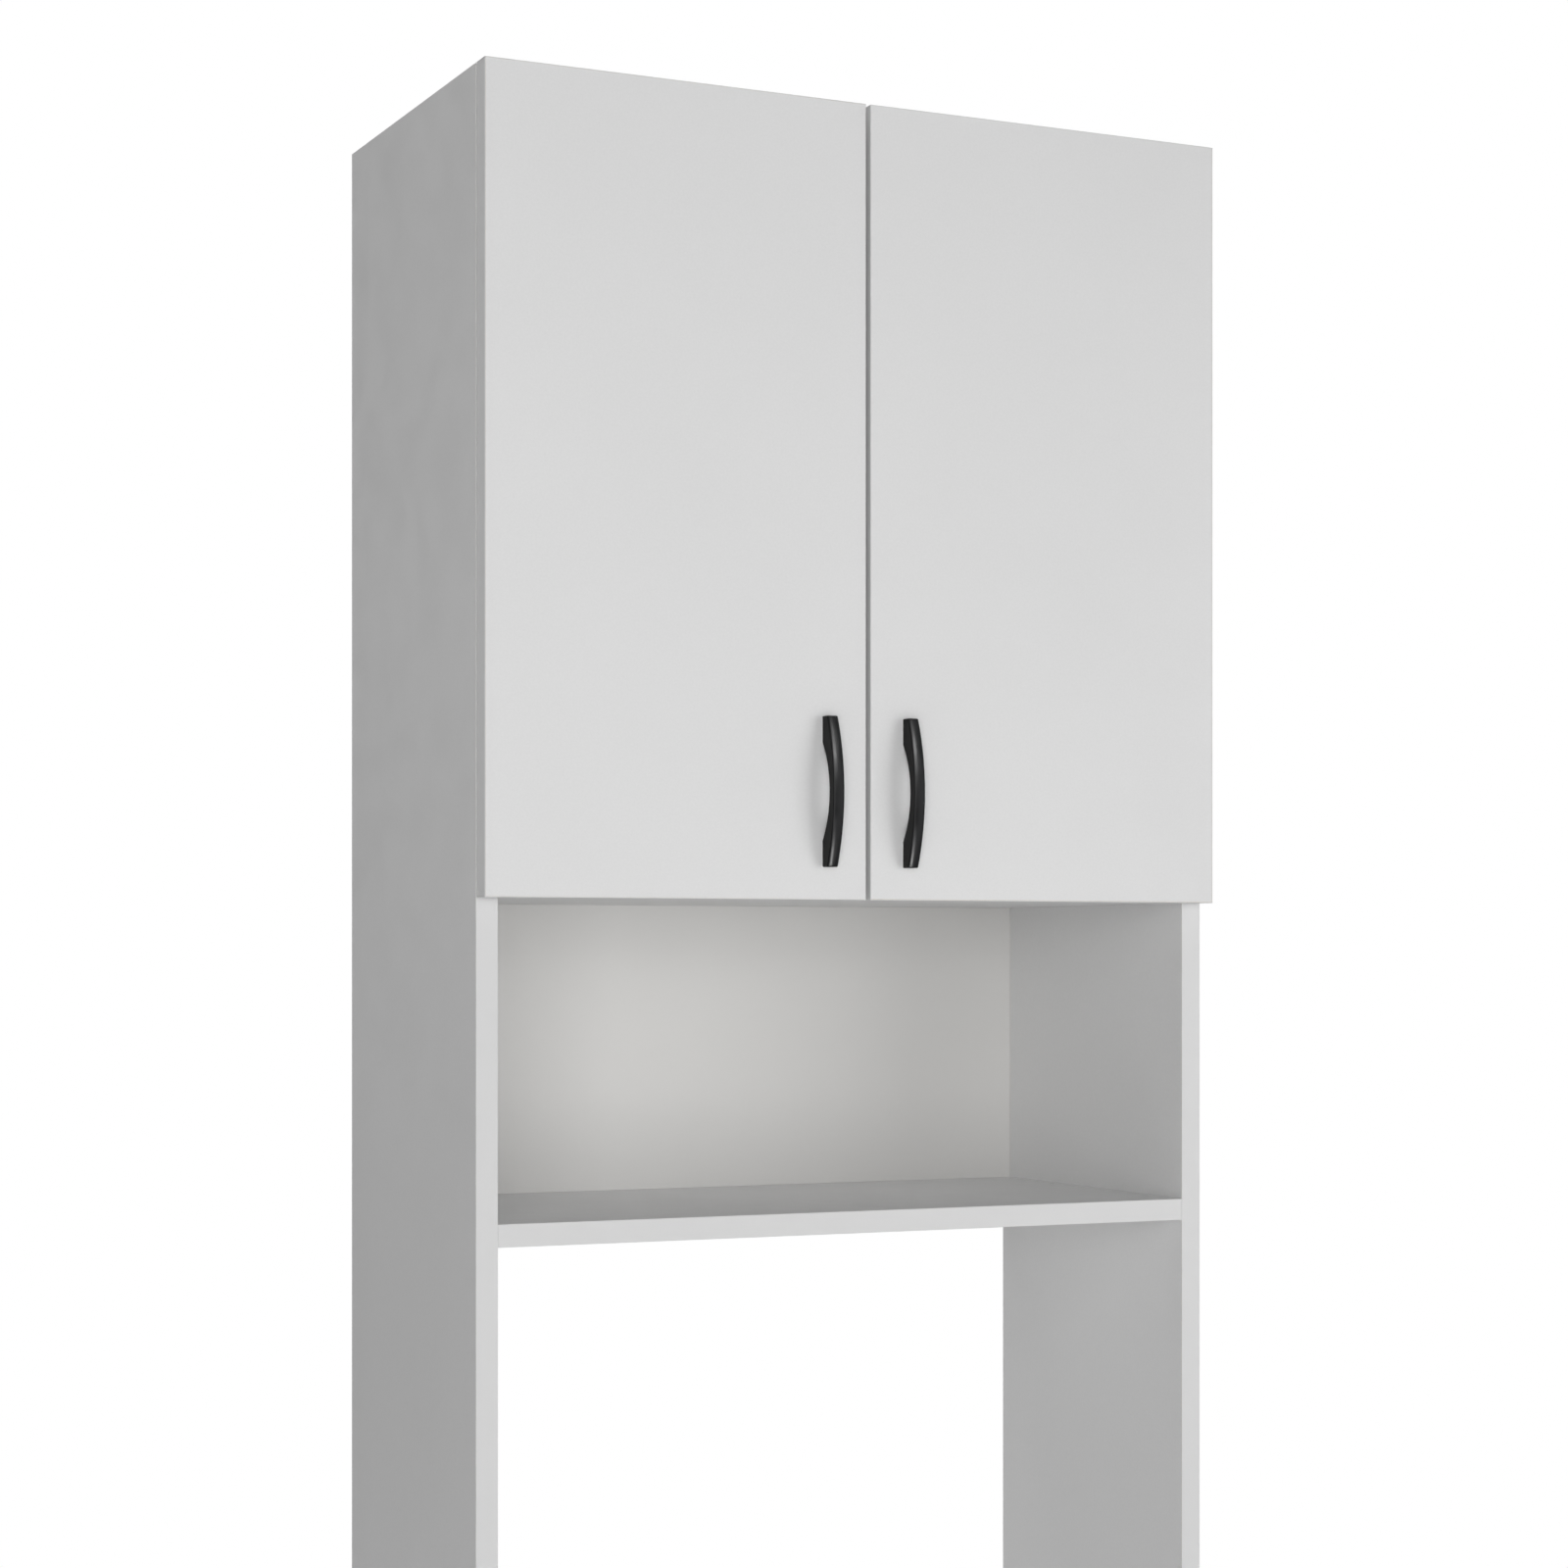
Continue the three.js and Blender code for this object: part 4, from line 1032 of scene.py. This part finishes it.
def lacquered_hardboard():
    """Rolled-on white lacquer: flat, slightly warm, with the faint print of the roller."""
    material, tree, shader, place = new_material("roller_lacquered_hardboard", IOR=1.45)
    print_mark = add(tree, "TexNoise", {"Vector": place, "Scale": per_metre(ROLLER), "Detail": 3})
    cloud = add(tree, "TexNoise", {"Vector": place, "Scale": per_metre(ROLLED_CLOUD), "Detail": 2})
    tone = add(tree, "Mix", {0: cloud.outputs[0], 6: linear("#E1E0DE"), 7: linear("#DDDCDA")},
               data_type="RGBA")
    sheen = add(tree, "MapRange", {0: print_mark.outputs[0], **ROLLED_ROUGHNESS})
    bump = add(tree, "Bump", {"Height": print_mark.outputs[0], "Distance": ROLLER_DEPTH,
                              "Strength": 0.3})
    tree.links.new(tone.outputs[2], shader.inputs["Base Color"])
    tree.links.new(sheen.outputs[0], shader.inputs["Roughness"])
    tree.links.new(bump.outputs[0], shader.inputs["Normal"])
    return material


def brown_hardboard():
    """The bare side: matted fibres in browns, with the print of the press screen."""
    material, tree, shader, place = new_material("pressed_brown_hardboard", Roughness=0.8)
    fibres = add(tree, "TexNoise", {"Vector": place, "Scale": per_metre(FIBRE), "Detail": 6,
                                    "Distortion": 1.5})
    cloud = add(tree, "TexNoise", {"Vector": place, "Scale": per_metre(PRESS_STAIN), "Detail": 3})
    tones = add(tree, "ValToRGB", {0: fibres.outputs[0]})
    tones.color_ramp.elements[0].position = 0.3
    tones.color_ramp.elements[0].color = linear("#765B41")
    tones.color_ramp.elements[1].position = 0.7
    tones.color_ramp.elements[1].color = linear("#AA8C69")
    shade = add(tree, "MapRange", {0: cloud.outputs[0], **MOST_NOISE, **STAIN_TONES})
    colour = add(tree, "Mix", {0: 1.0, 6: tones.outputs[0], 7: shade.outputs[0]},
                 data_type="RGBA", blend_type="MULTIPLY")
    bump = add(tree, "Bump", {"Height": fibres.outputs[0], "Distance": FIBRE_DEPTH,
                              "Strength": 0.6})
    tree.links.new(colour.outputs[2], shader.inputs["Base Color"])
    tree.links.new(bump.outputs[0], shader.inputs["Normal"])
    return material


hardboard_front = lacquered_hardboard()
hardboard_rear = brown_hardboard()
sheet = copy_of("back_panel")
sheet.normal_update()
for face in sheet.faces:
    face.material_index = 0 if face.normal.y < -0.5 else 1
sheet_piece = piece_from("back_panel_sheet", sheet, "back_panel",
                         [hardboard_front, hardboard_rear], ["back_panel"])
print(len(sheet_piece.data.polygons), "faces on the back panel")

# %% Nail the back panel
NAILS_X = (60, 165, 270)
BACK_REAR, NAIL_HEIGHT = 300, 1147
nail_head = rod(4.5, (0, 0, 0), (0, 0, 0.5), steps=16)
nails = [fitted(nail_head, side, (x, BACK_REAR, NAIL_HEIGHT), (-90, "X"))
         for side in SIDES for x in NAILS_X]
rounded(piece_from("back_panel_nails", merged(nails), "left_wall_bracket", [zinc]))
print(len(nails), "nails")

# %% [markdown]
# ## Small plastic and sheet metal
# Four things are left. Angle brackets tie the top panel to the wall. Lugs in a row of holes carry
# the shelf, and can be moved up or down. White polyethylene glides are nailed under the sides. And
# small clear silicone buffers on the back of each door soften the closing. The lugs are copied from
# the measured model and eased, and the rest is built like the other fittings.

# %% Plastic materials
SLIDE_MARK = 3
GLIDE_ROUGHNESS = {3: 0.4, 4: 0.6}
SKIN_DUST = 1
SILICONE_ROUGHNESS = {3: 0.15, 4: 0.35}


def white_polyethylene():
    """Moulded polyethylene: waxy white, matt, and scuffed where it slides on the floor."""
    material, tree, shader, place = new_material("moulded_white_polyethylene", IOR=1.5)
    scuff = add(tree, "TexNoise", {"Vector": place, "Scale": per_metre(SLIDE_MARK), "Detail": 5})
    tone = add(tree, "Mix", {0: scuff.outputs[0], 6: linear("#EAEAE6"), 7: linear("#D8D7D1")},
               data_type="RGBA")
    sheen = add(tree, "MapRange", {0: scuff.outputs[0], **GLIDE_ROUGHNESS})
    tree.links.new(tone.outputs[2], shader.inputs["Base Color"])
    tree.links.new(sheen.outputs[0], shader.inputs["Roughness"])
    return material


def clear_silicone():
    """Cast silicone: clear and soft, with a slightly dusty skin."""
    material, tree, shader, place = new_material("cast_clear_silicone", IOR=1.41)
    shader.inputs["Base Color"].default_value = linear("#F4F4F2")
    shader.inputs["Transmission Weight"].default_value = 0.85
    dust = add(tree, "TexNoise", {"Vector": place, "Scale": per_metre(SKIN_DUST), "Detail": 3})
    sheen = add(tree, "MapRange", {0: dust.outputs[0], **SILICONE_ROUGHNESS})
    tree.links.new(sheen.outputs[0], shader.inputs["Roughness"])
    return material


polyethylene = white_polyethylene()
silicone = clear_silicone()
print("made", polyethylene.name, "and", silicone.name)

# %% Shape brackets, glides and buffers
BRACKET_HALF, BRACKET_LEG, BRACKET_THICKNESS = 10, 30, 2
BRACKET_HOLE, BRACKET_HOLE_DROP = 5, 16
BRACKET_EASE = 0.3
GLIDE_DIAMETER, GLIDE_HEIGHT = 16, 3
GLIDE_SINK, GLIDE_SINK_DEPTH = 6, 1.2
BUFFER_DIAMETER, BUFFER_HEIGHT = 8, 1.5
ROLLED_RIM = 1


def bracket():
    """Two legs at a right angle, each with a screw hole, with their long edges eased."""
    upright = box((-BRACKET_HALF, -BRACKET_THICKNESS, -BRACKET_LEG), (BRACKET_HALF, 0, 0))
    level = box((-BRACKET_HALF, -BRACKET_LEG, -BRACKET_THICKNESS), (BRACKET_HALF, 0, 0))
    drop, deep = -BRACKET_HOLE_DROP, -BRACKET_THICKNESS - 1
    drills = [rod(BRACKET_HOLE, (0, 1, drop), (0, deep, drop)),
              rod(BRACKET_HOLE, (0, drop, 1), (0, drop, deep))]
    bored = boolean(boolean(upright, [level], "UNION"), drills)
    corners = [edge for edge in sharp(bored) if abs(edge.verts[0].co.x) == BRACKET_HALF
               and edge.verts[0].co.x == edge.verts[1].co.x]
    ease(bored, corners, BRACKET_EASE)
    return bored


def glide():
    """A disc with a rolled lower rim, sunk in the middle for its nail."""
    disc = rod(GLIDE_DIAMETER, (0, 0, 0), (0, 0, GLIDE_HEIGHT), steps=48)
    rim = [edge for edge in disc.edges if all(vert.co.z < 1 for vert in edge.verts)]
    ease(disc, rim, ROLLED_RIM, segments=3, clamp=False)
    return boolean(disc, [rod(GLIDE_SINK, (0, 0, -1), (0, 0, GLIDE_SINK_DEPTH))])


def buffer():
    """A dome: a low disc with its rim rolled over."""
    dot = rod(BUFFER_DIAMETER, (0, 0, 0), (0, 0, BUFFER_HEIGHT))
    rim = [edge for edge in dot.edges if all(vert.co.z > 1 for vert in edge.verts)]
    ease(dot, rim, ROLLED_RIM, segments=4, clamp=False)
    return dot


bracket_shape, glide_shape, buffer_shape = bracket(), glide(), buffer()
glide_nail = merged([rod(2, (0, 0, 1), (0, 0, 18), steps=12), rod(5, (0, 0, 0.5), (0, 0, 1.1))])
print("a bracket has", len(bracket_shape.faces), "faces")

# %% Set brackets, lugs, glides and buffers
BRACKET_AT = (78, 297, 1757)
BRACKET_SCREW_AT = (78, 281, 1755)
LUG_EASE = 0.0003
GLIDE_X = 9
GLIDE_ROWS = {"front": 40, "rear": 270}
BUFFER_X = 305
BUFFER_HEIGHTS = (1147, 1766)

for side in SIDES:
    node = f"{side}_wall_bracket"
    angle = fitted(bracket_shape, side, BRACKET_AT)
    rounded(piece_from(f"{node}_angle", angle, node, [zinc], [node]))
    top_screw = fitted(bracket_screw, side, BRACKET_SCREW_AT, (180, "X"))
    rounded(piece_from(f"{node}_screw", top_screw, node, [zinc]))
    for row, y in GLIDE_ROWS.items():
        node = f"{side}_{row}_glide"
        disc = fitted(glide_shape, side, (GLIDE_X, y, 0))
        rounded(piece_from(f"{node}_disc", disc, node, [polyethylene], [node]))
        nail = fitted(glide_nail, side, (GLIDE_X, y, 0))
        rounded(piece_from(f"{node}_nail", nail, node, [zinc]))
        node = f"{side}_{row}_shelf_pin"
        lug = copy_of(node)
        ease(lug, sharp(lug), LUG_EASE)
        rounded(piece_from(f"{node}_lug", lug, node, [nickel], [node]))
    dots = merged([fitted(buffer_shape, side, (BUFFER_X, DOOR_BACK, z), (-90, "X"))
                   for z in BUFFER_HEIGHTS])
    buffers = rounded(piece_from(f"{side}_door_buffers", dots, f"{side}_door", [silicone]))

# %% [markdown]
# ## View transform
# The render shows colours with the standard view transform.

# %% Set the view transform
scene.view_settings.view_transform = "Standard"
